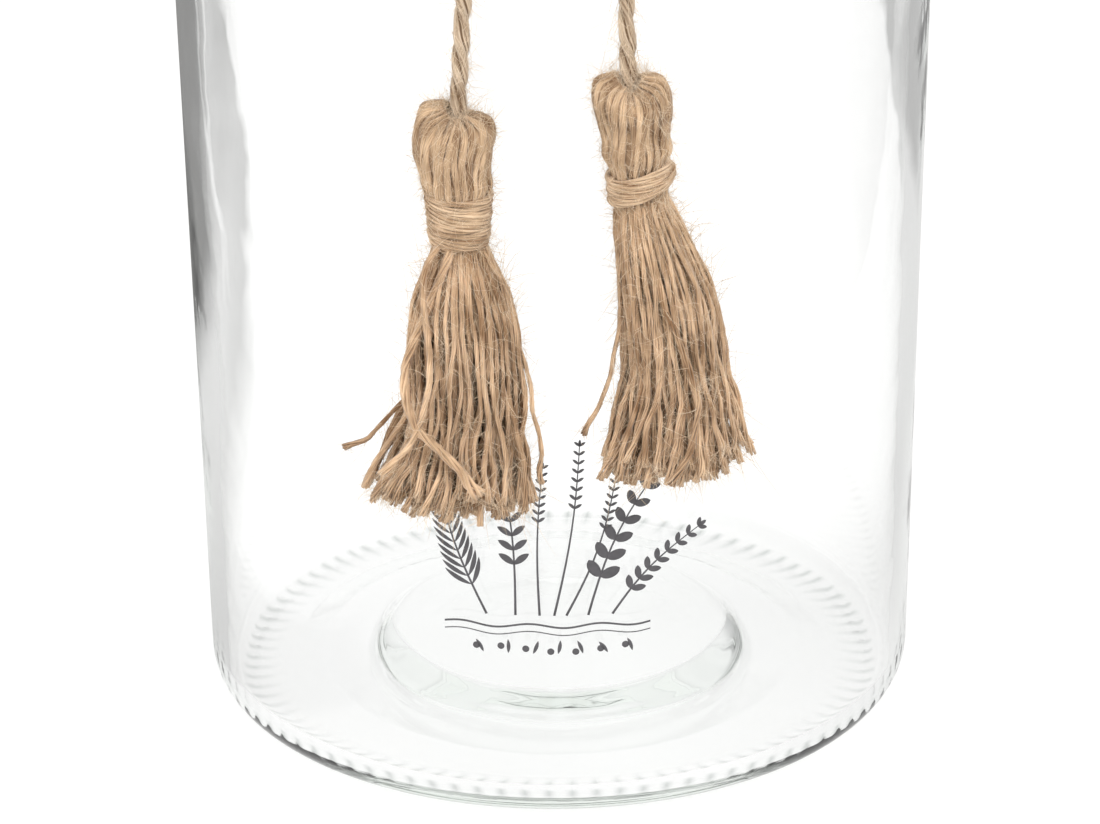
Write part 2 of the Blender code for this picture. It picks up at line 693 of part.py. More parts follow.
def hanging(tassel):
    """A tail and its tassel: the tail swings where it leaves the knot, and the tassel lifts at its end."""
    turn = (0, 0, facing(tassel))
    first = Vector(tail_route(tassel)[0])
    swing = empty(f"{tassel.name}_tail_swing", first, None, turn)
    tail(tassel, swing)
    lift = empty(f"{tassel.name}_tassel_lift", hinge_place(tassel), None, turn)
    for piece in (tassel_head, stop_knot, binding, skirt):
        piece(tassel, lift)


def build():
    glass_jar()
    neck_rope()
    for tassel in TASSELS:
        hanging(tassel)


build()
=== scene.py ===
# %% [markdown]
# # A glass jar vase with jute tassels
# A tall round jar of clear glass has jute rope wound round its neck. The rope is tied at the front in a
# reef knot, and its two ends hang down the wall in tassels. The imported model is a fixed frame: every piece
# made here is in metres, +Z up, with the knot towards -Y, and rides on one of that frame's bodies.

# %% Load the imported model
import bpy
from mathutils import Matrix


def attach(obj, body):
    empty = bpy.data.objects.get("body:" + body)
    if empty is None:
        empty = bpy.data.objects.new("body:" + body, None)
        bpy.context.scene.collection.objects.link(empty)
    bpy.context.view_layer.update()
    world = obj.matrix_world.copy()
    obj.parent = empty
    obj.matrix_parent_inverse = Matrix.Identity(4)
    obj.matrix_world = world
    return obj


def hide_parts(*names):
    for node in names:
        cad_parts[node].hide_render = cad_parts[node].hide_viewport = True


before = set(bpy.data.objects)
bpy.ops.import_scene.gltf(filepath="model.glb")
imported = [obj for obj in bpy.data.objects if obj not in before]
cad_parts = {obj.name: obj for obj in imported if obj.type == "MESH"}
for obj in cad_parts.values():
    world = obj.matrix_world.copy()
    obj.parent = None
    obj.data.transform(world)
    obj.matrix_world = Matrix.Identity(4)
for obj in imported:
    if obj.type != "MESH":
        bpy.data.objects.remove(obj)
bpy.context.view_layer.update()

import math
from dataclasses import dataclass

import bpy
import numpy as np
from mathutils import Matrix, Vector

MM = 0.001
CENTIMETRE = 10 * MM
TAU = 2 * math.pi                   # a whole turn

# %% [markdown]
# ## The camera
# A camera is only a place, a direction and a lens. These were fitted to the photograph's outline: the
# taper of the jar's sides and the ellipses of its floor give how far away and how high the camera stands,
# and the jar's width gives the lens. It is made first, so that each later piece can be seen in its frame.

# %% Camera
CAMERA_AWAY = 760 * MM
CAMERA_RISE = math.radians(22.7)
CAMERA_ROLL = math.radians(-0.55)
CAMERA_AIM = Vector((0, 0, 60.8 * MM))

camera_data = bpy.data.cameras.new("camera")
camera_data.sensor_width = 36
camera_data.lens = 110
camera_data.shift_x = -0.0065           # the jar stands a little right of the frame's middle
camera = bpy.data.objects.new("camera", camera_data)
bpy.context.scene.collection.objects.link(camera)
back = Vector((0, -math.cos(CAMERA_RISE), math.sin(CAMERA_RISE)))
camera.location = CAMERA_AIM + CAMERA_AWAY * back
look = (-back).to_track_quat("-Z", "Y").to_matrix() @ Matrix.Rotation(CAMERA_ROLL, 3, "Z")
camera.rotation_euler = look.to_euler()
bpy.context.scene.camera = camera
print("camera at, mm:", [round(c / MM) for c in camera.location])

# %% [markdown]
# ## Lines, and what is carried along them
# Rope, yarn, twine and stray fibres are all a flat section carried along a line. So three small tools make
# most of this object: one draws smooth lines through a few places, one spaces points evenly along a line,
# and one carries a section along many lines at once. They work on whole arrays, because a tassel has
# hundreds of strands.


# %% Smooth lines
def smooth(stations, samples):
    """Smooth lines through stations, many at once: the last two axes are the stations and x, y, z. Between
    two stations a line is a cubic whose slope at each is that of the line between its neighbours, with the
    square root of the distance between stations as its clock."""
    p = np.asarray(stations, dtype=float)
    steps = np.sqrt(np.linalg.norm(np.diff(p, axis=-2), axis=-1)).reshape(-1, p.shape[-2] - 1)
    clock = np.concatenate([[0], np.cumsum(steps.mean(axis=0))])
    slope = np.gradient(p, clock, axis=-2)
    now = np.linspace(0, clock[-1], samples)
    i = np.clip(np.searchsorted(clock, now, side="right") - 1, 0, len(clock) - 2)
    span = (clock[i + 1] - clock[i])[:, None]
    u = (now - clock[i])[:, None] / span
    return ((2 * u**3 - 3 * u**2 + 1) * p[..., i, :] + (u**3 - 2 * u**2 + u) * span * slope[..., i, :]
            + (3 * u**2 - 2 * u**3) * p[..., i + 1, :] + (u**3 - u**2) * span * slope[..., i + 1, :])


def along(lines):
    """Distance along each line, at each of its points: the running sum of its steps."""
    steps = np.linalg.norm(np.diff(lines, axis=-2), axis=-1)
    return np.concatenate([np.zeros_like(steps[..., :1]), np.cumsum(steps, axis=-1)], axis=-1)


def even(line, step):
    """One line's points again, at equal steps near the given one."""
    distance = along(line)
    places = np.linspace(0, distance[-1], math.ceil(distance[-1] / step) + 1)
    return np.stack([np.interp(places, distance, line[:, axis]) for axis in range(3)], axis=1)


# %% Carry a section along lines
def unit(vectors):
    """Each vector over its length."""
    return vectors / np.linalg.norm(vectors, axis=-1, keepdims=True)


def axes(lines, outward):
    """Two directions square to a line at each point: the first as near to outward as can be, and the
    second is the way along crossed with the first, so that first, second and way are right-handed."""
    way = unit(np.gradient(lines, axis=-2))
    first = unit(outward - (outward * way).sum(axis=-1, keepdims=True) * way)
    return first, np.cross(way, first)


def carry(section, lines, outward):
    """Rings of points: each place of a line, plus the section's x and y along the line's two axes."""
    first, second = axes(lines, outward)
    return (lines[..., None, :] + section[..., :1] * first[..., None, :]
            + section[..., 1:] * second[..., None, :])


def round_section(radius, turn, corners, flat=1.0):
    """A round section, or an oval one where flat is under 1, turned by an angle at each place: x is the
    radius times the angle's cosine, and y is flat times the radius times its sine, before the turn."""
    a = np.arange(corners) * TAU / corners
    x, y = np.cos(a) * radius[..., None], np.sin(a) * flat * radius[..., None]
    c, s = np.cos(turn)[..., None], np.sin(turn)[..., None]
    return np.stack([x * c - y * s, x * s + y * c], axis=-1)


# %% Turn rings into a mesh
def fill_mesh(name, points, faces, uv=None, tone=None):
    """A mesh from arrays: points, and faces as a list of arrays of corner numbers, one row a face. Tone is
    one number a point, which a material can read."""
    mesh = bpy.data.meshes.new(name)
    corners = np.concatenate([f.ravel() for f in faces])
    sizes = np.concatenate([np.full(len(f), f.shape[1]) for f in faces])
    mesh.vertices.add(len(points))
    mesh.vertices.foreach_set("co", np.ascontiguousarray(points, dtype=np.float32).ravel())
    mesh.loops.add(len(corners))
    mesh.loops.foreach_set("vertex_index", corners.astype(np.int32))
    mesh.polygons.add(len(sizes))
    starts = np.concatenate([[0], np.cumsum(sizes)[:-1]])
    mesh.polygons.foreach_set("loop_start", starts.astype(np.int32))
    mesh.update(calc_edges=True)
    if uv is not None:
        layer = mesh.uv_layers.new(name="UVMap")
        layer.data.foreach_set("uv", np.ascontiguousarray(uv, dtype=np.float32).ravel())
    if tone is not None:
        attribute = mesh.attributes.new("tone", "FLOAT", "POINT")
        attribute.data.foreach_set("value", np.ascontiguousarray(tone, dtype=np.float32).ravel())
    mesh.shade_smooth()
    mesh.validate()
    return mesh


def tube_mesh(name, rings, tone=0.5):
    """Closed tubes from rings of points: the axes are the tubes, the places along, the corners round and
    x, y, z. U runs once round a tube, and V along it in centimetres. Each end is closed by one face."""
    tubes, rows, columns = rings.shape[:3]
    number = np.arange(tubes * rows * columns).reshape(tubes, rows, columns)
    after = np.roll(number, -1, axis=2)
    sides = np.stack([number[:, :-1], after[:, :-1], after[:, 1:], number[:, 1:]], axis=-1)
    starts, ends = number[:, 0, ::-1], number[:, -1]
    # A side face's corners are its own place in the net of rows and columns, and one on to the right and up
    u, v = np.arange(columns + 1) / columns, along(rings.mean(axis=2)) / CENTIMETRE
    right, up = np.array([[0, 1, 1, 0], [0, 0, 1, 1]])
    pairs = ((u[np.arange(columns)[:, None] + right], v[:, np.arange(rows - 1)[:, None, None] + up]),
             (u[-2::-1], v[:, :1]), (u[:-1], v[:, -1:]))
    uv = np.concatenate([np.stack(np.broadcast_arrays(*pair), axis=-1).reshape(-1, 2) for pair in pairs])
    tone = np.broadcast_to(np.reshape(tone, (-1, 1, 1)), (tubes, rows, columns))
    return fill_mesh(name, rings.reshape(-1, 3), [sides.reshape(-1, 4), starts, ends], uv, tone)


def piece(mesh, body, material):
    """Put a finished mesh into the scene as a piece of the same name, which rides on a body and takes a
    material."""
    thing = bpy.data.objects.new(mesh.name, mesh)
    bpy.context.scene.collection.objects.link(thing)
    mesh.materials.clear()
    mesh.materials.append(material)
    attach(thing, body)
    print(f"{mesh.name}: {len(mesh.loops) - 2 * len(mesh.polygons)} triangles")
    return thing


# %% [markdown]
# ## Colour, and adding nodes
# Colours are written as people write them for a screen, in sRGB hex. Blender's shaders count in linear
# light, so one function turns the one into the other. Another adds a node with its settings and links, so
# that a material reads from top to bottom.


# %% Colour and node helpers
def linear(colour):
    """Linear light from sRGB hex: each channel over 12.92 where it is dark, else the 2.4th power of the
    channel plus 0.055 over 1.055."""
    channels = [int(colour[i:i + 2], 16) / 255 for i in (1, 3, 5)]
    return (*(c / 12.92 if c <= 0.04045 else ((c + 0.055) / 1.055) ** 2.4 for c in channels), 1.0)


def add(tree, kind, inputs=(), out=0, **settings):
    """Add a node of a kind, with its settings. Each of its inputs, in order or by name or number, takes a
    value or a link. What comes back is its output of the given name or number."""
    made = tree.nodes.new("ShaderNode" + kind)
    for name, value in settings.items():
        setattr(made, name, value)
    for key, value in inputs.items() if isinstance(inputs, dict) else enumerate(inputs):
        if isinstance(value, bpy.types.NodeSocket):
            tree.links.new(value, made.inputs[key])
        else:
            made.inputs[key].default_value = value
    return made.outputs[out]


def empty_material(name):
    """A material with nothing in it but its output, and its node tree."""
    material = bpy.data.materials.new(name)
    material.use_nodes = True
    material.node_tree.nodes.clear()
    return material, material.node_tree, material.node_tree.nodes.new("ShaderNodeOutputMaterial")


# %% [markdown]
# ## Jute
# Jute is a coarse bast fibre, spun and laid without a gloss. Light sinks in between its hairs, so it is
# matt, with a faint sheen at the edges, and each strand is a little lighter or darker than the next. The
# fibres run along a strand, so the pattern follows its own UV map: fine round the strand and long along
# it. U goes round a circle first, so that the pattern meets itself without a seam.


# %% Jute materials
def jute(name, light, dark, girth, fibre, bump, plies=0):
    """Spun jute: girth is the way round a strand, and fibre the width of one lock of fibres, both in metres.
    A fibre lock is drawn about 25 times as long as it is wide. In laid rope each crease between two plies is
    painted dark, as painted shade: there the cosine of the plies' number times the angle round is near minus
    one."""
    material, tree, output = empty_material(name)
    u, v, _ = add(tree, "SeparateXYZ", [add(tree, "UVMap", uv_map="UVMap")]).node.outputs
    tone = add(tree, "Attribute", out="Fac", attribute_name="tone")
    angle = add(tree, "Math", [u, TAU], operation="MULTIPLY")
    across = girth / fibre / TAU
    x = add(tree, "Math", [angle], operation="COSINE")
    y = add(tree, "Math", [angle], operation="SINE")
    z = add(tree, "Math", [v, CENTIMETRE / (25 * fibre) / across], operation="MULTIPLY")
    # W sets each strand's fibres apart from its neighbours'
    w = add(tree, "Math", [tone, 37.0], operation="MULTIPLY")
    fibres = add(tree, "TexNoise", {"Vector": add(tree, "CombineXYZ", [x, y, z]), "W": w, "Scale": across,
                                    "Detail": 3.0, "Roughness": 0.6}, noise_dimensions="4D")
    patches = add(tree, "TexNoise", {"Vector": add(tree, "TexCoord", out="Object"), "Scale": 1 / (6 * MM),
                                     "Detail": 2.0})
    # Fibres count most, then patches, then the strand's own tone
    mixed = add(tree, "Math", [patches, 0.5, fibres], operation="MULTIPLY_ADD")
    mixed = add(tree, "Math", [tone, 0.15, mixed], operation="MULTIPLY_ADD")
    share = add(tree, "MapRange", [mixed, 0.62, 1.04])
    # Painted shade: the creases between plies are darkened in the colour, on top of the geometry's grooves
    if plies:
        turned = add(tree, "Math", [angle, plies], operation="MULTIPLY")
        lobe = add(tree, "Math", [turned], operation="COSINE")
        painted_crease_shade = add(tree, "MapRange", [lobe, -0.98, -0.75, -0.9, 0.0])
        share = add(tree, "Math", [share, painted_crease_shade], operation="ADD", use_clamp=True)
    colour = add(tree, "Mix", {0: share, 6: linear(dark), 7: linear(light)}, 2, data_type="RGBA")
    relief = add(tree, "Bump", {"Height": fibres, "Strength": bump, "Distance": fibre})
    shader = add(tree, "BsdfPrincipled", {"Base Color": colour, "Normal": relief, "Roughness": 0.85,
                                          "Sheen Weight": 0.25, "Sheen Roughness": 0.5,
                                          "Specular IOR Level": 0.25})
    tree.links.new(shader, output.inputs["Surface"])
    return material


LAID_ROPE = jute("laid_jute_rope", "#DAC5AC", "#755D45", 9.4 * MM, 0.28 * MM, 1.0, 3)
SOFT_YARN = jute("soft_jute_yarn", "#DBBC99", "#6F5136", 2.0 * MM, 0.26 * MM, 1.0)
SKIRT_YARN = jute("combed_jute_yarn", "#E6C4A0", "#7F5E40", 1.6 * MM, 0.26 * MM, 1.0)
TWINE_JUTE = jute("soft_jute_twine", "#E9CDAC", "#876545", 1.9 * MM, 0.26 * MM, 1.0)
STRAY_HAIR = jute("stray_jute_hair", "#F8E6CC", "#BF9A6E", 0.2 * MM, 0.2 * MM, 0.0)
print("jute materials:", LAID_ROPE.name, SOFT_YARN.name, SKIRT_YARN.name, TWINE_JUTE.name,
      STRAY_HAIR.name)

# %% [markdown]
# ## The rope's line
# One rope goes through everything: out of the left tail, round the left bight of the knot, three times
# round the neck, up over its own turns and through the right bight to the right tail. The line repeats the
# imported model's stations, so the rope lies where the model has it. Each bight is half of a reef knot: its
# two legs leave on the same side, between the other bight's nose and sides.

# %% Sizes of the jar and the rope
JAR_HEIGHT = 250 * MM
BODY_RADIUS = 80 * MM
BODY_FLARE = 0.004                  # the wall leans out by this share of its height
HEEL_RADIUS = 8.6 * MM
NECK_RADIUS = 58 * MM
RIM_HEIGHT = 9 * MM
TOUCH = 0.3 * MM                    # left between pieces that touch
ROPE = 3 * MM
NECK_TURNS = 3
TURN_GAP = 0.5 * MM
LOOP_POINTS = 24
LEAD_ANGLE = math.radians(45)
KNOT_BELOW_RIM = 2.71 * MM
KNOT_LAYER = 2 * MM                 # strands that cross stand this far before or behind the knot's middle
KNOT_STANDS_OFF = 0.5 * MM

# Half a bight: across, up, and forward in layers; then the leg's way out, and the ways into and out of
# the winding, as shares of the lead angle
HALF_BIGHT = (
    (-3.2, 0.80, 0.3), (-2.5, 0.68, 0.9), (-1.8, 0.64, 1.0), (-0.95, 0.66, 0.0), (-0.48, 0.88, -0.7),
    (0.0, 1.28, -1.0), (0.48, 1.68, -0.7), (0.95, 1.93, 0.0), (1.62, 1.5, 0.85), (1.98, 0.75, 1.0),
    (2.05, 0.0, 1.0),
)
KNOT_EXIT = ((3.55, 0.0, -1.35), (3.72, 0.0, -2.1))
LEAD_IN = ((0.42, 0.62), (0.69, 0.2))
LEAD_OUT = ((0.83, 0.04, 0.65), (0.69, 0.26, 1.22), (0.53, 0.56, 1.38), (0.37, 0.86, 1.58))

WINDING_RADIUS = (NECK_RADIUS + TOUCH + ROPE / 2) / math.cos(math.pi / LOOP_POINTS)
KNOT_MIDDLE = np.array([0, -(WINDING_RADIUS + ROPE + KNOT_STANDS_OFF + KNOT_LAYER),
                        JAR_HEIGHT - RIM_HEIGHT - KNOT_BELOW_RIM - (1.93 + 0.5) * ROPE])
print("knot's middle, mm:", np.round(KNOT_MIDDLE / MM, 2))


# %% The line of the neck rope
def on_neck(angle, radius, height):
    """A place round the neck; the angle runs from the front towards the left."""
    return (-radius * math.sin(angle), -radius * math.cos(angle), height)


def bight(side):
    """One bight from its upper leg round its nose to its lower leg, which is the same upside down."""
    whole = HALF_BIGHT + tuple((x, -z, y) for x, z, y in HALF_BIGHT[-2::-1])
    return [KNOT_MIDDLE + np.array([-side * x * ROPE, side * y * KNOT_LAYER, z * ROPE])
            for x, z, y in whole]


def knot_exit(side):
    """The way out of the lower leg, and on to where the tail is hinged, just past the rope's round end."""
    before, start = [KNOT_MIDDLE + np.array([side * x, y, z]) * ROPE for x, y, z in KNOT_EXIT]
    hinge = start + (start - before) / np.linalg.norm(start - before) * (TOUCH + ROPE / 2)
    return [before, start, hinge]


def neck_rope_stations():
    """Places that the rope goes through: the left bight, a way in, turns that sink by a rope's width and a
    gap each, a way out that climbs over them, and the right bight."""
    top = KNOT_MIDDLE[2] + HALF_BIGHT[0][1] * ROPE
    first, last = LEAD_ANGLE, TAU * NECK_TURNS - LEAD_ANGLE
    angles = np.linspace(first, last, round((last - first) / (TAU / LOOP_POINTS)) + 1)
    turns = [on_neck(a, WINDING_RADIUS, top - (ROPE + TURN_GAP) * (a - first) / TAU)
             for a in angles]
    low = turns[-1][2]
    lead_in = [on_neck(LEAD_ANGLE * share, WINDING_RADIUS + out * (-KNOT_MIDDLE[1] - WINDING_RADIUS), top)
               for share, out in LEAD_IN]
    lead_out = [on_neck(-LEAD_ANGLE * share, WINDING_RADIUS + out * ROPE, low + climb * (top - low))
                for share, climb, out in LEAD_OUT]
    return np.array(knot_exit(-1)[::-1] + bight(-1)[::-1] + lead_in + turns + lead_out + bight(1)
                    + knot_exit(1))


ROPE_STEP = 0.65 * MM
neck_line = even(smooth(neck_rope_stations(), 2400), ROPE_STEP)
print(f"rope round the neck: {along(neck_line)[-1] / MM:.0f} mm long")

# %% [markdown]
# ## Laid rope
# Three plies are twisted round each other, so a cut across the rope shows three lobes. Each lobe is part
# of a circle that is about half as wide as the rope, and the grooves between them are deep. The section
# turns as it is carried, once for each lay, to the left as a left-hand laid rope does. Fine ridges on each
# ply are its yarns. The mesh's own corners turn with the section, so that its edges follow the plies.

# %% Rope sections
LAID_RADIUS = 1.73 * MM             # to the top of a ply: a round rope of the same width on average is 3 mm
ROPE_LAY = 19 * MM                  # one whole turn of the three plies
PLIES = 3
PLY_OFF, PLY_RADIUS = 0.48, 0.52    # a ply's middle and its radius, as shares of the rope's radius


def ball_ends(line, radius):
    """The line with three more points past each end, and the radius at every point: a ball rounds off each
    end, where the share of the radius is the root of one less the square of the share gone out."""
    out = np.array([0.5, 0.85, 0.985])
    start = line[0] + unit(line[0] - line[1]) * radius[0] * out[:, None]
    end = line[-1] + unit(line[-1] - line[-2]) * radius[-1] * out[:, None]
    thin = np.sqrt(1 - out**2)
    return (np.vstack([start[::-1], line, end]),
            np.concatenate([radius[0] * thin[::-1], radius, radius[-1] * thin]))


def laid_section(radius, distance, start, corners, ridges):
    """Three lobes: at an angle w from the middle of the nearest ply, the way out is the ply's offset times
    the cosine of w, plus the root of its radius squared less the offset times the sine of w squared. Ridges
    are a small cosine on top. All of it is turned by the lay."""
    a = np.arange(corners) * TAU / corners
    w = (a + math.pi / PLIES) % (TAU / PLIES) - math.pi / PLIES
    out = PLY_OFF * np.cos(w) + np.sqrt(PLY_RADIUS**2 - (PLY_OFF * np.sin(w)) ** 2)
    out = out * (1 + 0.018 * np.cos(ridges * w))
    turn = start - TAU * distance / ROPE_LAY        # start: one angle, or one for each place
    angle = a + turn[:, None]
    reach = out * radius[:, None]
    return np.stack([reach * np.cos(angle), reach * np.sin(angle)], axis=-1)


def from_axis(line):
    """Straight out from the jar's middle line, at each point."""
    flat = line * np.array([1, 1, 0])
    return unit(flat)


def rope_rings(line, radius, start, corners, ridges, outward):
    """A laid rope's rings along a line, with ball ends. The lay is counted from the line's own start. Three
    sines make the rope a little uneven in its thickness and its twist."""
    line, radius = ball_ends(line, radius)
    distance = along(line) - 0.985 * radius[3]
    uneven = sum(np.sin(distance / (wave * MM) + wave) for wave in (1.1, 2.3, 3.7))
    radius = radius * (0.97 + 0.016 * uneven)
    start = start + 0.12 * uneven
    return carry(laid_section(radius, distance, start, corners, ridges), line, outward(line))


# %% The rope round the neck
neck_rings = rope_rings(neck_line, np.full(len(neck_line), LAID_RADIUS), 0.0, 30, 10, from_axis)
neck_rope = piece(tube_mesh("neck_rope_laid", neck_rings[None]), "collar", LAID_ROPE)
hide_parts("neck_rope")

# %% [markdown]
# ## The tassels' places
# A tassel hangs from a hinge at the end of its tail. Everything on it is first worked out round that hinge,
# upright and facing the viewer, and then leaned, turned to face straight out from the glass and moved. The
# sizes below were measured on the photograph: the left tassel hangs lower and straight, and the right one
# higher, and it leans.


# %% The two tassels
@dataclass
class Tassel:
    """What is measured on one tassel."""
    name: str
    side: int                       # -1 left, 1 right
    hinge: tuple                    # across and height, in millimetres
    lean: float                     # degrees, sideways
    radius: float                   # of the head, at its widest; this and all below are in millimetres
    widest: float                   # below the hinge
    head_length: float              # down to the waist
    lobes: tuple                    # height over the hinge of the left lobe, right lobe, front and back
    lobe_out: tuple                 # how far out each of them lies
    shift: float                    # of the belly, sideways
    waist: tuple                    # radius at the top and the bottom of the binding
    waist_length: float
    skirt: tuple                    # half width a quarter of the way down, and at the ends
    skirt_length: float
    drift: float                    # of the skirt's ends, sideways
    sway: float                     # of the skirt's middle, sideways


LEFT = Tassel("left", -1, (-18.4, 160.0), -0.6, 7.8, 8.5, 17.0, (1.8, -0.2, -0.9, -0.6),
              (4.3, 2.9, 2.5, 2.7), -1.1, (5.7, 4.9), 10.1, (9.3, 17.6), 56.4, -1.6, 1.6)
RIGHT = Tassel("right", 1, (14.2, 165.5), 6.0, 7.4, 7.0, 16.0, (2.4, 1.2, -1.5, 0.2),
               (3.6, 3.4, 2.6, 2.7), 0.3, (5.6, 5.2), 9.4, (7.8, 15.0), 58.0, 0.6, 2.7)
TASSELS = (LEFT, RIGHT)


def wall_radius(height):
    """Outside radius of the straight part of the jar's wall."""
    return BODY_RADIUS + BODY_FLARE * (height - HEEL_RADIUS)


def hinge_place(tassel):
    """The tassel's head just clears the wall, so its hinge is a head's radius and the gap off it."""
    across, height = (c * MM for c in tassel.hinge)
    out = wall_radius(height) + TOUCH + tassel.radius * MM
    return np.array([across, -math.sqrt(out**2 - across**2), height])


def place(tassel, points):
    """From the tassel's own millimetres to the vase's metres: leaned, turned to face out, and moved."""
    hinge = hinge_place(tassel)
    facing = math.atan2(hinge[0], -hinge[1])
    turn = (Matrix.Rotation(facing, 3, "Z") @ Matrix.Rotation(math.radians(-tassel.lean), 3, "Y"))
    return points * MM @ np.array(turn).T + hinge


def off_glass(points, gap):
    """Points below the shoulder that would lie in the wall are moved straight out until they clear it by
    the gap."""
    radius = np.linalg.norm(points[..., :2], axis=-1)
    least = np.where(points[..., 2] < SHOULDER_HEIGHT - 10 * MM, wall_radius(points[..., 2]) + gap, 0)
    return points * np.stack([np.maximum(1, least / radius)] * 2 + [np.ones_like(radius)], axis=-1)


for tassel in TASSELS:
    print(tassel.name, "tassel's hinge, mm:", np.round(hinge_place(tassel) / MM, 2))

# %% [markdown]
# ## The free tails
# Each end of the rope hangs from the knot over the shoulder and down the wall to its tassel. It is a free
# cord. The line repeats the model's stations: straight out of the knot, round the shoulder just clear of the
# glass, and down to the middle of the tassel's head.

# %% Lines of the tails
SHOULDER_SLOPE = math.radians(20)
SHOULDER_RADIUS = 18 * MM
NECK_BOTTOM = 216 * MM
TAIL_ON_SHOULDER = (38, 18, 2)      # degrees up round the shoulder's curve
TAIL_LIFT = 0.4 * MM
SHOULDER_HEIGHT = NECK_BOTTOM - (BODY_RADIUS - NECK_RADIUS) * math.tan(SHOULDER_SLOPE)


def tail_stations(tassel):
    """Out of the knot, round the shoulder's curve, and down in front of the wall to the hinge."""
    _, start, first = knot_exit(tassel.side)
    bend_height = SHOULDER_HEIGHT - SHOULDER_RADIUS / math.tan(math.pi / 4 + SHOULDER_SLOPE / 2)
    bend_radius = wall_radius(bend_height) - SHOULDER_RADIUS
    off = SHOULDER_RADIUS + ROPE / 2 + TOUCH + TAIL_LIFT
    end = hinge_place(tassel)
    stations = [first, first + (first - start) / np.linalg.norm(first - start) * ROPE]
    for angle in np.radians(TAIL_ON_SHOULDER):
        out, height = bend_radius + off * math.cos(angle), bend_height + off * math.sin(angle)
        across = first[0] + (end[0] - first[0]) * math.sqrt((first[2] - height) / (first[2] - end[2]))
        stations.append(np.array([across, -math.sqrt(out**2 - across**2), height]))
    last = stations[-1]
    return np.array(stations + [last + (end - last) * share for share in (0.35, 0.7, 1)])


def tail(tassel):
    """The tail's laid rope. Its plies go on from where those of the neck's rope end."""
    line = even(smooth(tail_stations(tassel), 400), 0.4 * MM)
    start = 0.0 if tassel.side < 0 else -TAU * along(neck_line)[-1] / ROPE_LAY
    rings = rope_rings(line, np.full(len(line), LAID_RADIUS), start, 42, 18, from_axis)
    rope = piece(tube_mesh(f"{tassel.name}_tail_laid", rings[None]), f"{tassel.name}_rope",
                 LAID_ROPE)
    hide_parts(f"{tassel.name}_tail")
    print(f"{tassel.name} tail: {along(line)[-1] / MM:.1f} mm long")
    return rope, line


tails = {tassel.name: tail(tassel) for tassel in TASSELS}

# %% [markdown]
# ## The rope's end inside the head
# A knot at the rope's end holds each tassel on. The head hides it, but it is a piece of the object, so it
# is made as rope too: a short stub over a round swelling, with the same three plies.


# %% Stop knots
STOP_KNOT = ((1.8, 1.4), (4.8, 1.5), (6.0, 2.3), (8.0, 2.9), (10.0, 2.3), (10.8, 1.2))


def stop_knot(tassel):
    """A laid rope whose radius follows (drop, radius) pairs below the hinge, in millimetres."""
    drops, radii = np.array(STOP_KNOT).T
    drop = np.linspace(drops[0], drops[-1], 30)
    line = place(tassel, np.stack([0 * drop, 0 * drop, -drop], axis=1))
    radius = np.interp(drop, drops, radii) * MM
    rings = rope_rings(line, radius, 0.0, 18, 6, from_axis)
    knot = piece(tube_mesh(f"{tassel.name}_end_knot", rings[None]), f"{tassel.name}_tassel",
                 LAID_ROPE)
    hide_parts(f"{tassel.name}_stop_knot")
    return knot


on_tassel = {tassel.name: [stop_knot(tassel)] for tassel in TASSELS}

# %% [markdown]
# ## Soft yarn
# The tassels' yarn is spun so softly that its fibres lie in loose locks. A single tube looks like wire, so
# each yarn is four thin tubes, its locks, that wind slowly round each other in an oval bundle. They share
# the yarn's line and stand off from it by less than their own radius, so they look like one strand with
# grooves, and they can part at a cut end as a brush does.

# %% Locks of a yarn
LOCKS = 4


def lock_lines(lines, outward, spread, flat, lay, start):
    """Each line again as its locks: lock k is off the line by the spread at an angle of k quarters of a
    turn plus the way along over the lay, on an oval whose short axis faces outward."""
    first, second = axes(lines, outward)
    angle = (start[:, None, None] + np.arange(LOCKS)[None, :, None] * TAU / LOCKS
             + TAU * along(lines)[:, None, :] / lay)
    x = flat * np.cos(angle) * spread[:, None, :]
    y = np.sin(angle) * spread[:, None, :]
    return lines[:, None] + x[..., None] * first[:, None] + y[..., None] * second[:, None]


def yarn_rings(lines, outward, radius, corners, chance, flat=0.7, lay=16.0, loose=0.56, brush=None):
    """Rings of every lock of every yarn, in the units of its lines. The radius is the yarn's, at each
    place. Loose is how far out its locks lie, as a share of that, and the locks fill the rest. Brush is
    how many times wider the bundle is, at each place."""
    brush = np.ones_like(radius) if brush is None else brush
    spread, lock = loose * radius * brush, (1.02 - loose) * radius
    start = chance.uniform(0, TAU, len(lines))
    locks = lock_lines(lines, outward, spread, flat, lay, start)
    rows = locks.shape[2]
    locks = locks.reshape(-1, rows, 3)
    lock = np.repeat(lock, LOCKS, axis=0) * chance.uniform(0.85, 1.15, (len(locks), 1))
    out = np.repeat(outward, LOCKS, axis=0)
    return carry(round_section(lock, np.zeros_like(lock), corners, 0.85), locks, out)


# %% [markdown]
# ## Stray hairs
# Jute is never smooth: fine hairs stand off it everywhere, and against a pale wall they soften each edge.
# A hair is a thin three-sided tube that starts on the strand, leaves it at a small angle and curls.


# %% Hairs
HAIR = 0.035 * MM                   # radius; real hairs are finer, and would be lost in the picture
HAIR_CLEARS_GLASS = 0.6 * MM        # with room for the ropes to swing


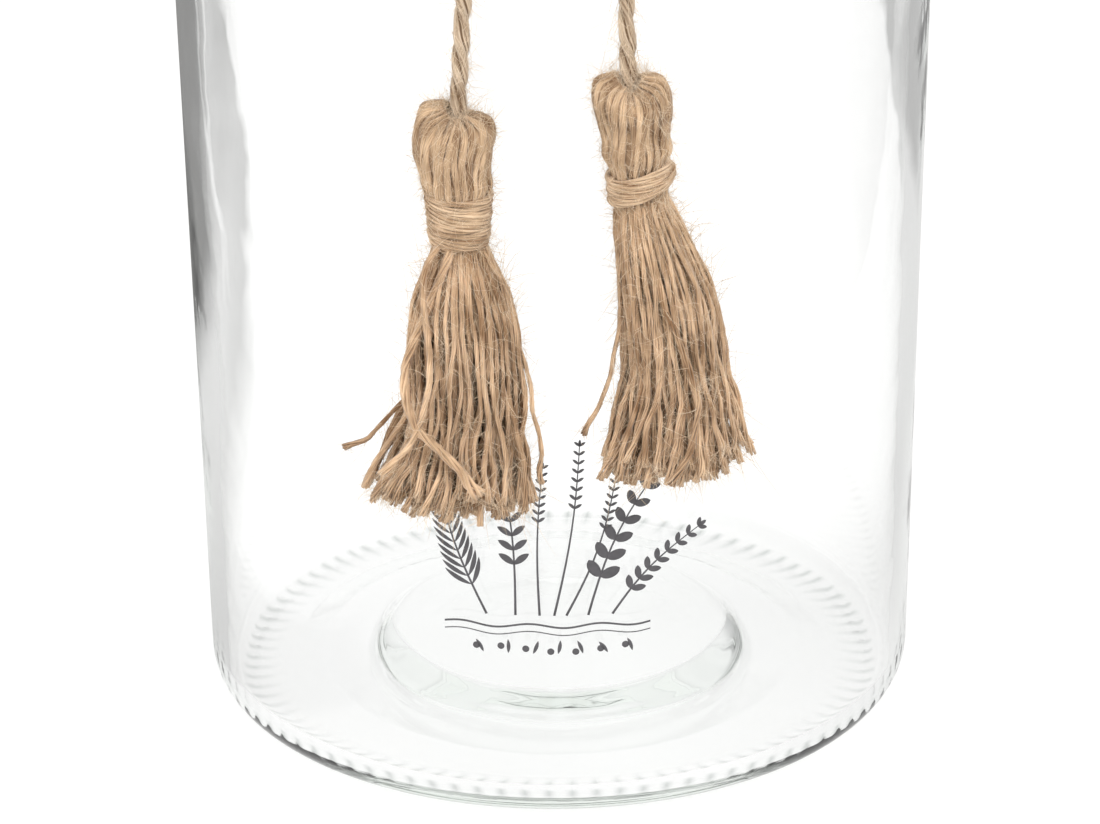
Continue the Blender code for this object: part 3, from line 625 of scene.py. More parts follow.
def hair_mesh(name, roots, ways, lengths, chance, radius=HAIR):
    """Hairs from their roots: each goes its way times the share gone, bends off by a random vector times
    the share squared and back by another times its cube, all times its length. It thins to its tip."""
    count = len(roots)
    share = np.linspace(0, 1, 5)[None, :, None]
    bend, curl = chance.normal(0, 0.4, (2, count, 1, 3))
    lines = roots[:, None] + lengths[:, None, None] * (
        share * unit(ways)[:, None] + share**2 * bend + share**3 * curl)
    # Hairs that would run into the glass lie along it
    lines = off_glass(lines, HAIR_CLEARS_GLASS)
    outward = np.broadcast_to(unit(chance.normal(0, 1, (count, 1, 3))), lines.shape)
    thick = np.broadcast_to(radius * np.array([1, 0.95, 0.85, 0.7, 0.35]), (count, 5))
    rings = carry(round_section(thick, np.zeros_like(thick), 3), lines, outward)
    return tube_mesh(name, rings, chance.uniform(0.3, 1, count))


def hairs_on(chance, rings, count, lengths, lift, astray):
    """Roots spread over tubes' rings, and ways that lie mostly along the tubes, lift off by a share and go
    astray by a random vector that is flattened against the tube."""
    tube = chance.integers(0, rings.shape[0], count)
    row = chance.integers(1, rings.shape[1] - 1, count)
    column = chance.integers(0, rings.shape[2], count)
    roots = rings[tube, row, column]
    middle = rings.mean(axis=2)
    forward = unit(middle[tube, row + 1] - middle[tube, row - 1]) * chance.choice([-1, 1], (count, 1))
    out = unit(roots - middle[tube, row])
    stray = chance.normal(0, astray, (count, 3))
    stray -= 0.85 * (stray * out).sum(axis=1, keepdims=True) * out
    ways = forward + out * chance.uniform(0, lift, (count, 1)) + stray
    return roots, ways, chance.uniform(*lengths, count)


def grow(name, body, slot, chance, *where):
    """A piece of hairs; where they grow is what hairs_on needs after chance."""
    piece(hair_mesh(name, *hairs_on(chance, *where), chance), body, STRAY_HAIR)


# %% Hairs on the rope
def rope_hairs(name, rings, count, body, seed):
    """Hairs on one rope, shorter than a tassel's and more lifted."""
    grow(name, body, "jute_rope", np.random.default_rng(seed), rings[None], count, (1.2 * MM, 4.5 * MM),
         0.8, 0.35)


rope_hairs("neck_rope_hairs", neck_rings, 3600, "collar", 11)
for tassel in TASSELS:
    rope, line = tails[tassel.name]
    rings = rope_rings(line, np.full(len(line), LAID_RADIUS), 0.0, 18, 6, from_axis)
    rope_hairs(f"{tassel.name}_tail_hairs", rings, 800, f"{tassel.name}_rope", 20 + tassel.side)

# %% [markdown]
# ## The folded heads
# A hank of yarn is folded over the rope's knot, and its yarns run from the valley at the rope's foot over
# two soft lobes, round the belly and in under the binding. The surface is like an apple's: a height and a
# way out at each place from valley to waist, with a crest whose height changes with the angle round. The
# yarns are carried along that surface, thinner in the valley, where they crowd, and a closed core under
# them stops light from coming through.

# %% Head surface and yarns
HEAD_YARNS = 31
HEAD_ROWS = 40


def round_tassel(tassel, values, angle):
    """Blend four values, for left, right, front and back, by the angle from the front towards the right:
    each counts by the square of how far the angle's sine or cosine reaches to its side."""
    s, c = np.sin(angle), np.cos(angle)
    left, right, front, behind = values
    return np.where(s < 0, left, right) * s**2 + np.where(c > 0, front, behind) * c**2


def head_surface(tassel, angle, inset, samples):
    """Lines on the head from valley to waist, one for each angle, in by the inset: smooth lines through
    (way out, height) stations that follow the crest's own height and place at that angle."""
    r, length = tassel.radius, tassel.head_length
    crest, crest_out = (round_tassel(tassel, v, angle) for v in (tassel.lobes, tassel.lobe_out))
    bottom = -length - tassel.waist_length
    top_waist, low_waist = tassel.waist
    stations = [
        (1.75, -2.0), (0.5 * (1.9 + crest_out), crest - 0.55), (crest_out, crest - inset),
        (0.5 * (crest_out + r) + 0.6, crest - 0.13 * r - inset), (0.93 * r, 0.55 * crest - 0.52 * r),
        (r - inset, -tassel.widest), (0.9 * r - inset, -0.5 * (tassel.widest + length)),
        (top_waist + 1.3 - inset, 2.0 - length), (top_waist + 0.2 - inset, -length - 1.0),
        (low_waist - inset, bottom), (0.94 * low_waist - inset, bottom - 2),
    ]
    out, height = (np.stack([value + 0 * angle for value in part], axis=1) for part in zip(*stations))
    aside = tassel.shift * np.exp(-((height + tassel.widest) / 6) ** 2)
    x = out * np.sin(angle)[:, None] + aside
    y = -out * np.cos(angle)[:, None]
    return smooth(np.stack([x, y, height], axis=-1), samples)


def head(tassel):
    """The yarns of one head on its core."""
    chance = np.random.default_rng(40 + tassel.side)
    angle = (np.arange(HEAD_YARNS) + chance.uniform(-0.22, 0.22, HEAD_YARNS)) * TAU / HEAD_YARNS
    lines = head_surface(tassel, angle, 0.8, HEAD_ROWS)
    share = np.linspace(0, 1, HEAD_ROWS)
    # Each yarn wanders a little to either side on its way down, and all of them drift to the left
    round_way = np.stack([np.cos(angle), np.sin(angle), 0 * angle], axis=1)[:, None]
    wander = 0.5 * np.sin(share * math.pi * chance.uniform(1.5, 3.2, (HEAD_YARNS, 1))
                           + chance.uniform(0, 6, (HEAD_YARNS, 1))) * np.sin(math.pi * share) ** 0.5
    lines = lines + (wander - 1.6 * share)[..., None] * round_way
    outward = np.cross(unit(np.gradient(lines, axis=1)), np.broadcast_to(round_way, lines.shape))
    reach = np.hypot(lines[..., 0], lines[..., 1])
    width = chance.uniform(0.78, 1.12, (HEAD_YARNS, 1))
    radius = np.minimum(0.86, math.pi * reach / HEAD_YARNS * 1.22) * width
    tone = np.repeat(chance.uniform(0, 1, HEAD_YARNS), LOCKS)
    rings = place(tassel, yarn_rings(lines, outward, radius, 7, chance, 0.7, 14.0, 0.42))
    body = f"{tassel.name}_tassel"
    yarns = piece(tube_mesh(f"{tassel.name}_head_yarns", rings, tone), body, SOFT_YARN)
    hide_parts(f"{tassel.name}_tassel_head")
    core_angle = -np.arange(48) * TAU / 48
    # Painted shade: the core's low tone makes it darker than the yarns, so the gaps between them look shaded
    core_rings = head_surface(tassel, core_angle, 1.05, HEAD_ROWS).transpose(1, 0, 2)
    core = piece(tube_mesh(f"{tassel.name}_head_core", place(tassel, core_rings)[None], 0.1), body,
                 SOFT_YARN)
    grow(f"{tassel.name}_head_hairs", body, "jute_yarn", chance, rings, 3200, (1.0 * MM, 4.0 * MM), 0.2,
         0.6)
    return [yarns, core]


for tassel in TASSELS:
    on_tassel[tassel.name] += head(tassel)

# %% [markdown]
# ## The bindings
# Soft thin twine is wound tightly round each waist. The left one lies in nearly level turns. The right one
# was wound more loosely: a few level turns, and then one that climbs across them at the front. The twine is
# hardly twisted, so it flattens where it is pulled tight, and is made of locks as the yarn is.

# %% Twine round the waists
TWINE_LAY = 22.0                    # one whole turn of its locks, in millimetres


def left_winding():
    """Nearly ten turns down the waist, a pitch of 1.12 mm, each turn a little uneven."""
    t = np.linspace(0, 9.7, 620)
    angle = TAU * t + 2.0
    share = t / t[-1]
    uneven = 0.22 * np.sin(0.83 * angle + 1) - 0.35 * np.cos(angle - 0.6)
    height = -LEFT.head_length + 0.9 - 1.12 * t + uneven
    out = LEFT.waist[0] + (LEFT.waist[1] - LEFT.waist[0]) * share + 0.55 + 0.12 * np.sin(1.7 * angle)
    return np.stack([out * np.sin(angle), -out * np.cos(angle), height], axis=1), 0.70


def right_winding():
    """Four and a half level turns, tilted up to the right, then nearly a turn that climbs across the front
    from lower left to upper right, outside them, and tucks in behind."""
    t = np.linspace(0, 5.4, 420)
    angle = TAU * t + 2.6
    climb = np.clip((t - 4.4) / 0.8, 0, 1)
    climb = climb**2 * (3 - 2 * climb)
    tilt = 0.21 * RIGHT.waist[0] * np.sin(angle)
    height = -RIGHT.head_length - 1.5 - 1.1 * np.minimum(t, 4.4) + tilt + 4.6 * climb
    out = RIGHT.waist[0] + 0.3 + 0.7 * np.sin(math.pi * climb) ** 0.6
    return np.stack([out * np.sin(angle), -out * np.cos(angle), height], axis=1), 0.76


def binding(tassel, winding):
    """The twine's locks round its line. Its thickness changes slowly by two sines of the way along."""
    chance = np.random.default_rng(60 + tassel.side)
    line, radius = winding()
    distance = along(line)
    radius = radius * (1 + 0.10 * np.sin(distance / 4.1) + 0.08 * np.sin(distance / 1.7 + 1))
    outward = unit(line * np.array([1, 1, 0]))
    rings = place(tassel, yarn_rings(line[None], outward[None], radius[None], 7, chance, 0.75, TWINE_LAY))
    body = f"{tassel.name}_tassel"
    twine = piece(tube_mesh(f"{tassel.name}_binding_twine", rings, chance.uniform(0.3, 0.8, LOCKS)), body,
                  TWINE_JUTE)
    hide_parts(f"{tassel.name}_tassel_binding")
    grow(f"{tassel.name}_binding_hairs", body, "jute_twine", chance, rings, 700, (0.8 * MM, 3.0 * MM),
         0.3, 0.6)
    return twine


on_tassel["left"].append(binding(LEFT, left_winding))
on_tassel["right"].append(binding(RIGHT, right_winding))

# %% [markdown]
# ## The skirts
# Under the binding the yarns hang free. They start close together, spread to a bell and end in cut tips
# that open like small brushes. Their starts are evenly spread in a round, each a golden angle on from the
# last, and every yarn keeps its place as the bell opens, so few of them cross. Slow waves, ragged lengths
# and a few strays, placed as in the photograph, make it a hand-cut bundle. Each yarn is its locks again,
# which part at the tip.

# %% Skirt lines
STRANDS = 190
STRAND_ROWS = 30
STRAND_RADIUS = 0.60                # millimetres, as are all sizes of a tassel
SKIRT_HAIR = 0.045 * MM             # these hairs' radius
DEPTH_SHARE = 0.56                  # the skirt is flattened front to back towards its ends
BELL_GAP = 0.9                      # a wide bell stands off the wall, in millimetres
STRAND_GAP = 0.8                    # the least left between the wall's plane and a strand's middle line

# Strays: for each, its places across and up in the photograph, in the vase's millimetres, how far it
# stands in front of the skirt's middle, and its width as a share of the others'
LEFT_STRAYS = (
    (((-20.5, 133.0), (-22.5, 120.0), (-25.5, 108.0), (-31.0, 99.7), (-37.8, 92.2), (-42.6, 89.5)),
     4.0, 1.0),
    (((-14.5, 133.0), (-9.5, 124.0), (-7.3, 117.4), (-4.6, 105.8), (-3.6, 93.2), (-2.3, 83.8)), 2.0, 0.95),
    (((-19.0, 133.0), (-23.5, 121.0), (-26.6, 110.0), (-25.8, 102.0), (-19.5, 93.0), (-12.3, 85.7)),
     14.0, 1.7),
    (((-21.5, 134.0), (-23.4, 130.0), (-22.5, 117.0), (-21.9, 109.2), (-24.5, 100.5), (-27.4, 93.4),
      (-30.5, 89.4)), 14.4, 1.3),
)
RIGHT_STRAYS = (
    (((14.5, 139.0), (12.6, 128.0), (11.6, 116.0), (9.0, 104.0), (6.1, 93.7)), 2.0, 0.9),
    (((21.0, 139.0), (25.5, 126.0), (30.5, 112.0), (34.5, 99.0), (38.2, 87.5)), 3.0, 1.0),
    (((17.0, 139.0), (19.0, 124.0), (24.5, 110.0), (25.0, 98.0), (21.0, 86.0)), 11.7, 1.3),
)


def golden_places(count):
    """Evenly spread places in a round of radius 1: the way out is the root of the share of the count, and
    the angle a golden one on from the last."""
    i = np.arange(count) + 0.5
    out, angle = np.sqrt(i / count), i * math.pi * (3 - math.sqrt(5))
    return np.stack([out * np.sin(angle), -out * np.cos(angle)], axis=1)


def skirt_lines(tassel, chance):
    """Every strand's line: its place in the round, times the skirt's half width and depth at seven levels,
    with the drift of the ends and the sway of the middle."""
    spots = golden_places(STRANDS)
    top = -tassel.head_length - tassel.waist_length
    middle, end = tassel.skirt
    levels = (  # share of the length, half width
        (-0.03, tassel.waist[1] - 0.6), (0.05, tassel.waist[1] + 0.9), (0.20, middle),
        (0.36, 0.77 * middle + 0.23 * end), (0.64, 0.68 * middle + 0.32 * end),
        (0.82, 0.38 * middle + 0.62 * end), (1.0, end),
    )
    drop = 1 - chance.uniform(0, 0.09, STRANDS) - 0.06 * (spots**2).sum(axis=1) ** 2
    stations = []
    for share, width in levels:
        depth = width * (1 + (DEPTH_SHARE - 1) * share)
        forward = max(0.0, depth + BELL_GAP - tassel.radius)
        wander = chance.normal(0, 0.5 * max(share, 0) ** 1.5, (STRANDS, 2))
        aside = tassel.drift * max(share, 0) ** 2 + tassel.sway * math.sin(math.pi * max(share, 0))
        x = spots[:, 0] * width + aside + 1.5 * wander[:, 0]
        y = spots[:, 1] * depth - forward + wander[:, 1]
        z = top - (share * drop if share > 0 else share) * tassel.skirt_length
        stations.append(np.stack([x, y, np.broadcast_to(z, STRANDS)], axis=1))
    return smooth(np.stack(stations, axis=1), STRAND_ROWS)


def stray_lines(tassel, strays):
    """The listed strands, in the tassel's own millimetres."""
    hinge = hinge_place(tassel) / MM
    lean = math.radians(tassel.lean)
    lines = []
    for places, forward, _ in strays:
        x, z = np.array(places).T
        x, z = x - hinge[0], z - hinge[2]
        share = np.linspace(0.25, 1, len(x))
        own = np.stack([x * math.cos(lean) + z * math.sin(lean), -forward * np.minimum(1, share * 1.6),
                        z * math.cos(lean) - x * math.sin(lean)], axis=1)
        lines.append(smooth(own, STRAND_ROWS))
    return np.stack(lines)


# %% Skirt yarns
def skirt(tassel, strays):
    """The strands and strays of one skirt, and their hairs. Three slow sines bend each strand aside, more
    towards its end. The sideways bend of one strand is the forward bend of the seventh after it, times a
    share, so that no two strands keep in step."""
    chance = np.random.default_rng(80 + tassel.side)
    lines = np.concatenate([skirt_lines(tassel, chance), stray_lines(tassel, strays)])
    count = len(lines)
    share = np.linspace(0, 1, STRAND_ROWS)
    wave = sum(amount * np.sin(TAU * (share * chance.uniform(low, high, (count, 1))
                                              + chance.uniform(0, 1, (count, 1))))
               for amount, low, high in ((0.9, 0.8, 1.8), (0.4, 2.5, 4.5), (0.12, 6.0, 9.0)))
    lines[..., 0] += wave * share
    lines[..., 1] += 0.6 * np.roll(wave, 7, axis=0) * share
    lines[..., 1] = np.minimum(lines[..., 1], tassel.radius - STRAND_GAP)
    turned = chance.uniform(0, math.pi, (count, 1)) + share * chance.uniform(-2.2, 2.2, (count, 1))
    outward = np.stack([np.sin(turned) * 0.8, -np.cos(turned), 0.1 * np.ones_like(turned)], axis=-1)
    width = np.concatenate([chance.uniform(0.82, 1.2, STRANDS), [s[2] for s in strays]])[:, None]
    # The tip opens like a brush over its last part
    tip = np.clip((share - 0.88) / 0.12, 0, 1)
    radius = STRAND_RADIUS * width * (1 + 0.12 * tip)
    brush = 1 + 0.9 * tip * chance.uniform(0.3, 1.2, (count, 1))
    rings = place(tassel, yarn_rings(lines, outward, radius, 4, chance, 0.7, 18.0, 0.52, brush))
    tone = np.repeat(chance.uniform(0, 1, count), LOCKS)
    body = f"{tassel.name}_tassel"
    yarns = piece(tube_mesh(f"{tassel.name}_skirt_yarns", rings, tone), body, SKIRT_YARN)
    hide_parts(f"{tassel.name}_tassel_skirt")
    # Hairs grow on the outer half of the strands, and a few more at each cut end
    outer = rings[LOCKS * STRANDS // 2:]
    roots, ways, lengths = hairs_on(chance, outer, 4600, (1.5 * MM, 7 * MM), 0.1, 0.8)
    # They keep close to the bundle: most of what points away from its middle line is taken off
    away = unit((roots - rings.mean(axis=(0, 1, 2))) * np.array([1, 1, 0]))
    ways -= 0.9 * np.maximum((ways * away).sum(axis=1, keepdims=True), 0) * away
    tips = rings[:, -2].mean(axis=1)
    down = unit(tips - rings[:, -5].mean(axis=1))
    tips, down = np.repeat(tips, 3, axis=0), np.repeat(down, 3, axis=0)
    roots = np.concatenate([roots, tips + chance.normal(0, 0.15 * MM, tips.shape)])
    ways = np.concatenate([ways, down + chance.normal(0, 0.22, down.shape)])
    lengths = np.concatenate([lengths, chance.uniform(1.0 * MM, 3.2 * MM, len(tips))])
    piece(hair_mesh(f"{tassel.name}_skirt_hairs", roots, ways, lengths, chance, SKIRT_HAIR), body,
          STRAY_HAIR)


skirt(LEFT, LEFT_STRAYS)
skirt(RIGHT, RIGHT_STRAYS)

# %% [markdown]
# With every piece of the tassels made, each tail is limp rope that hangs, with a knot inside a tassel on its
# far end; the count of pieces on each end is printed.

for tassel in TASSELS:
    rope, line = tails[tassel.name]
    print(f"{tassel.name} tail: a limp cord with {len(on_tassel[tassel.name])} pieces on its end")

# %% [markdown]
# ## The jar
# The jar is one piece of glass, pressed at its base and blown above. Its section is an outline of straight
# sides and fillets, turned about the middle line: up the inside from the middle of the floor, over the rim
# and down the outside. Two things are then pressed into that surface. The inner wall has slow, shallow
# waves, which is what makes blown glass look alive, and under the heel is a ring of short grip marks.

# %% The jar's section
WALL = 4 * MM
INNER_HEEL_RADIUS = 6.5 * MM
BEARING_WIDTH = 8.5 * MM
FLOOR = 6 * MM                      # at the foot of the raised middle; it sinks from there to the heel
HEEL_FLOOR = 3.2 * MM
RECESS = 1.2 * MM
PUSH_UP_RADIUS = 42.8 * MM
PUSH_UP_HEIGHT = 4.8 * MM
PUSH_UP_SLOPE = 5.5 * MM
PUSH_UP_ROUND = 6 * MM
SOFT_ROUND = 15 * MM
RECESS_SLOPE = 8.4 * MM             # from the standing ring in to the recess
DOME_FOOT, DOME_TOP = 36 * MM, 16 * MM     # the underside rises a little in the middle, as pressed ones do
DOME_ROUND = 30 * MM
DOME_HEIGHT = 1.5 * MM
NECK_FILLET = 5 * MM
RIM_OVERHANG = 4.5 * MM
RIM_FILLET = 4.2 * MM
MOUTH_FILLET = 2.5 * MM


def jar_corners():
    """Corners of the section: radius, height and fillet, from the floor's middle up the inside and down
    the outside."""
    bearing_inner = BODY_RADIUS - HEEL_RADIUS - BEARING_WIDTH
    body_top = wall_radius(SHOULDER_HEIGHT)
    drop = WALL / math.cos(SHOULDER_SLOPE) - WALL * math.tan(SHOULDER_SLOPE)
    step_top = PUSH_UP_RADIUS - PUSH_UP_SLOPE
    rim, rim_bottom = NECK_RADIUS + RIM_OVERHANG, JAR_HEIGHT - RIM_HEIGHT
    return [
        (0, FLOOR + PUSH_UP_HEIGHT, 0), (step_top, FLOOR + PUSH_UP_HEIGHT, PUSH_UP_ROUND),
        (PUSH_UP_RADIUS, FLOOR, PUSH_UP_ROUND), (BODY_RADIUS - WALL, HEEL_FLOOR, INNER_HEEL_RADIUS),
        (body_top - WALL, SHOULDER_HEIGHT - drop, SHOULDER_RADIUS - WALL),
        (NECK_RADIUS - WALL, NECK_BOTTOM - drop, NECK_FILLET + WALL),
        (NECK_RADIUS - WALL, JAR_HEIGHT, MOUTH_FILLET), (rim, JAR_HEIGHT, RIM_FILLET),
        (rim, rim_bottom, RIM_FILLET), (NECK_RADIUS, rim_bottom, 0),
        (NECK_RADIUS, NECK_BOTTOM, NECK_FILLET), (body_top, SHOULDER_HEIGHT, SHOULDER_RADIUS),
        (BODY_RADIUS, 0, HEEL_RADIUS), (bearing_inner, 0, SOFT_ROUND),
        (bearing_inner - RECESS_SLOPE, RECESS, SOFT_ROUND), (DOME_FOOT, RECESS, DOME_ROUND),
        (DOME_TOP, RECESS + DOME_HEIGHT, DOME_ROUND), (0, RECESS + DOME_HEIGHT, 0),
    ]


def section_line(corners, arc_step, side_step):
    """The outline through the corners: each fillet an arc of even steps, and each side between them cut
    into even steps, with one more point close to either end, so that shading keeps to the arcs."""
    places = [Vector(corner[:2]) for corner in corners]
    ways = [(b - a).normalized() for a, b in zip(places, places[1:])]
    halves = [0.5 * (math.pi - a.angle(b)) for a, b in zip(ways, ways[1:])]
    reaches = [0] + [corner[2] / math.tan(half) for corner, half in zip(corners[1:], halves)] + [0]
    room = [(b - a).length / max(reach + after, 1e-9)
            for a, b, reach, after in zip(places, places[1:], reaches, reaches[1:])]
    points = []
    for i, here in enumerate(places):
        arc = [here]
        if reaches[i] > 0:
            half, behind, ahead = halves[i - 1], -ways[i - 1], ways[i]
            reach = reaches[i] * min(1, room[i - 1], room[i])
            middle = here + (behind + ahead).normalized() * reach * math.tan(half) / math.sin(half)
            sweep = (math.pi - 2 * half) * (1 if behind.cross(ahead) < 0 else -1)
            steps = max(4, round(abs(sweep) / arc_step))
            start = here + behind * reach - middle
            arc = [middle + Matrix.Rotation(sweep * k / steps, 2) @ start for k in range(steps + 1)]
        if points and (arc[0] - points[-1]).length > 2.5 * MM:
            last, side = points[-1], arc[0] - points[-1]
            near = 0.7 * MM / side.length
            shares = np.linspace(near, 1 - near, max(2, round(side.length / side_step) + 1))
            points += [last + side * share for share in shares]
        if points and (arc[0] - points[-1]).length < 1e-6:
            arc = arc[1:]
        points += arc
    return np.array([tuple(p) for p in points])


jar_section = section_line(jar_corners(), math.radians(10), 14 * MM)
print("jar's section:", len(jar_section), "points")

# %% The jar's surface
MARK_COUNT = 90
MARK_STEPS = 6                      # of the surface for each mark
MARK_TURN = math.radians(9)         # how far round the heel's curve the marks' middles lie
MARK_LENGTH = 6.5 * MM
MARK_DEPTH = 0.11 * MM
MARK_SHARE = 0.62                   # of the pitch that a mark takes up
JAR_STEPS = MARK_COUNT * MARK_STEPS
INNER_WAVES, OUTER_WAVES = 0.10 * MM, 0.03 * MM


def wall_waves(angle, height, strength):
    """How far the glass swells: three sines of whole numbers of waves round, each climbing its own way,
    times the strength, fading out at the floor and the shoulder."""
    swell = (np.sin(2 * angle + height / (31 * MM)) + 0.7 * np.sin(3 * angle - height / (23 * MM) + 1.0)
             + 0.45 * np.sin(7 * angle + height / (12 * MM) + 2.0))
    low = np.clip((height - 22 * MM) / (25 * MM), 0, 1)
    high = np.clip((196 * MM - height) / (25 * MM), 0, 1)
    return strength * swell * low**2 * (3 - 2 * low) * high**2 * (3 - 2 * high)


def grip_marks(angle, outline):
    """How deep the marks go: a raised cosine across each mark, times the square of one less the fourth
    power of the way from its middle to its end."""
    turned = angle * MARK_COUNT / TAU
    across = np.abs(turned - np.round(turned)) / (MARK_SHARE / 2)
    groove = np.where(across < 1, 0.5 + 0.5 * np.cos(math.pi * across), 0)
    middle = np.array([BODY_RADIUS - HEEL_RADIUS + HEEL_RADIUS * math.sin(MARK_TURN),
                       HEEL_RADIUS * (1 - math.cos(MARK_TURN))])
    away = np.linalg.norm(outline - middle, axis=1) / (MARK_LENGTH / 2)
    length = (1 - np.minimum(away, 1) ** 4) ** 2
    return MARK_DEPTH * length[:, None] * groove


def jar_mesh():
    """The section turned about Z. Its first and last points are the two poles, each closed by a fan."""
    outline = jar_section[1:-1]
    rows = len(outline)
    angle = np.arange(JAR_STEPS)[None] * TAU / JAR_STEPS
    way = np.gradient(outline, axis=0)
    normal = unit(np.stack([-way[:, 1], way[:, 0]], axis=1))       # out of the glass
    mouth = int(np.argmax(outline[:, 1]))
    inside = (np.arange(rows) < mouth)[:, None]
    height = outline[:, 1:]
    marks = np.where(inside, 0, grip_marks(angle, outline))
    push = np.where(inside, wall_waves(angle, height, INNER_WAVES),
                    wall_waves(angle + 1, height, OUTER_WAVES)) - marks
    radius = outline[:, :1] + normal[:, :1] * push
    points = np.stack([radius * np.cos(angle), radius * np.sin(angle), height + normal[:, 1:] * push],
                      axis=-1)
    number = np.arange(rows * JAR_STEPS).reshape(rows, JAR_STEPS)
    after = np.roll(number, -1, axis=1)
    sides = np.stack([number[:-1], number[1:], after[1:], after[:-1]], axis=-1).reshape(-1, 4)
    poles = np.array([[0, 0, jar_section[0, 1]], [0, 0, jar_section[-1, 1]]])
    first, last = number.size, number.size + 1
    floor_fan = np.stack([np.full(JAR_STEPS, first), number[0], after[0]], axis=1)
    base_fan = np.stack([np.full(JAR_STEPS, last), after[-1], number[-1]], axis=1)
    points = np.concatenate([points.reshape(-1, 3), poles])
    groove = np.concatenate([marks.ravel() / MARK_DEPTH, [0, 0]])
    return fill_mesh("jar_glass", points, [sides, floor_fan, base_fan], tone=groove)


# %% [markdown]
# ## Soda-lime glass
# Clear container glass, cast and then fire polished, so its surface is as smooth as a liquid's. Its index
# is 1.52. Iron in the sand makes it faintly green, which shows only where light travels a long way through
# it, such as in the heel, so the tint is in the volume and not on the surface. Lamps' rays pass through it
# as if it were clear, or the inside would be black with shadow.

# %% Glass material
GLASS, tree, output = empty_material("soda_lime_glass")
waves = add(tree, "TexNoise", {"Vector": add(tree, "TexCoord", out="Object"), "Scale": 1 / (14 * MM),
                               "Detail": 1.5, "Roughness": 0.4})
ripple = add(tree, "Bump", {"Height": waves, "Strength": 0.25, "Distance": 0.25 * MM})
# The mesh's tone is how deep a grip mark is, and the marks are painted greyer than the wall, as painted
# shade in their grooves
groove = add(tree, "Attribute", out="Fac", attribute_name="tone")
painted_groove_grey = add(tree, "Mix", {0: groove, 6: linear("#FFFFFF"), 7: linear("#AFB5B2")}, 2, data_type="RGBA")
polished = add(tree, "BsdfPrincipled", {"Base Color": painted_groove_grey, "Roughness": 0.0, "IOR": 1.52,
                                        "Transmission Weight": 1.0, "Normal": ripple})
lamp_ray = add(tree, "LightPath", out="Is Shadow Ray")
clear = add(tree, "BsdfTransparent", {"Color": linear("#F4F8F5")})
tree.links.new(add(tree, "MixShader", [lamp_ray, polished, clear]), output.inputs["Surface"])
tint = add(tree, "VolumeAbsorption", {"Color": linear("#C9DCCB"), "Density": 3.0})
tree.links.new(tint, output.inputs["Volume"])
print("glass:", GLASS.name)

# %% The jar
jar = piece(jar_mesh(), "jar", GLASS)
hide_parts("glass_jar")

# %% [markdown]
# ## The print
# The front of the jar carries a print in dark grey enamel, fired on. This one is a plain design of field
# plants: a fern, lavender and eucalyptus over two wavy rules with berries. Each leaf, stem and berry is
# a small sheet, a net of 5 by 11 points, worked out on the flat, in millimetres across and up. It is then
# wrapped round the wall and given the thickness of a coat of enamel.


# %% Leaves, stems and berries on the flat
SHEET_ROWS, SHEET_STEPS = 5, 10
ACROSS = np.linspace(1, -1, SHEET_ROWS)
STEM_HALF_WIDTHS = (0.26, 0.1)      # at its foot and its tip


def leaves(base, angle, length, width, bend, roundness):
    """Sheets shaped like leaves. Along a leaf its middle line turns by the bend, and its half width is the
    width times four times the share gone times the share left, to the power of the roundness, over two.
    A power of a half makes a round berry, and one near 1 a pointed leaf."""
    base, angle, length, width = (np.asarray(v, dtype=float) for v in (base, angle, length, width))
    a = np.linspace(0, 1, SHEET_STEPS + 1)
    turn = angle[:, None] + bend * a
    step = np.stack([np.cos(turn), np.sin(turn)], axis=-1) * (length[:, None, None] / SHEET_STEPS)
    middle = base[:, None] + np.cumsum(step, axis=1) - step
    half = width[:, None] / 2 * np.maximum(4 * a * (1 - a), 0.02) ** roundness
    side = np.stack([-np.sin(turn), np.cos(turn)], axis=-1)
    return middle[:, None] + ACROSS[None, :, None, None] * half[:, None, :, None] * side[:, None]


def sprig(root, tip, sway, pairs, leaf, spread, bend, roundness, taper, start=0.16):
    """A stem and its leaves in pairs. The stem goes from root to tip and sways aside by a sine. The leaves
    stand off at the spread angle, and shrink towards the tip by the taper."""
    root, tip = np.array(root, dtype=float), np.array(tip, dtype=float)
    along_stem = unit(tip - root)
    across = np.array([-along_stem[1], along_stem[0]])

    def on_stem(t):
        """Places at shares of the stem's length."""
        t = np.asarray(t, dtype=float)[:, None]
        return root + (tip - root) * t + across * sway * np.sin(math.pi * t)

    t = np.linspace(start, 0.97, pairs)
    size = 1 - taper * t
    swayed = sway * math.pi / np.linalg.norm(tip - root) * np.cos(math.pi * t)
    heading = math.atan2(along_stem[1], along_stem[0]) + swayed
    length, width = leaf[0] * size, leaf[1] * size
    sheets = [leaves(on_stem(t), heading + side * spread, length, width, -side * bend, roundness)
              for side in (-1, 1)]
    sheets.append(leaves(on_stem([0.97]), heading[-1:], length[-1:], width[-1:], 0, roundness))
    line = on_stem(np.linspace(0, 0.99, SHEET_STEPS + 1))
    stem_way = unit(np.gradient(line, axis=0))
    stem_side = np.stack([-stem_way[:, 1], stem_way[:, 0]], axis=1)
    half = np.linspace(*STEM_HALF_WIDTHS, SHEET_STEPS + 1)[:, None]
    sheets.append((line[None] + ACROSS[:, None, None] * half * stem_side)[None])
    return sheets


def rule(left, right, height, swing, waves, half):
    """A wavy rule: a ribbon whose height follows a sine, in pieces as fine as a leaf's."""
    sheets = 10
    x = np.linspace(left, right, sheets * SHEET_STEPS + 1)
    z = height + swing * np.sin(TAU * waves * (x - left) / (right - left))
    ribbon = np.stack([np.broadcast_to(x, (SHEET_ROWS, len(x))), z + ACROSS[:, None] * half], axis=-1)
    return [np.stack([ribbon[:, SHEET_STEPS * k:SHEET_STEPS * (k + 1) + 1] for k in range(sheets)])]


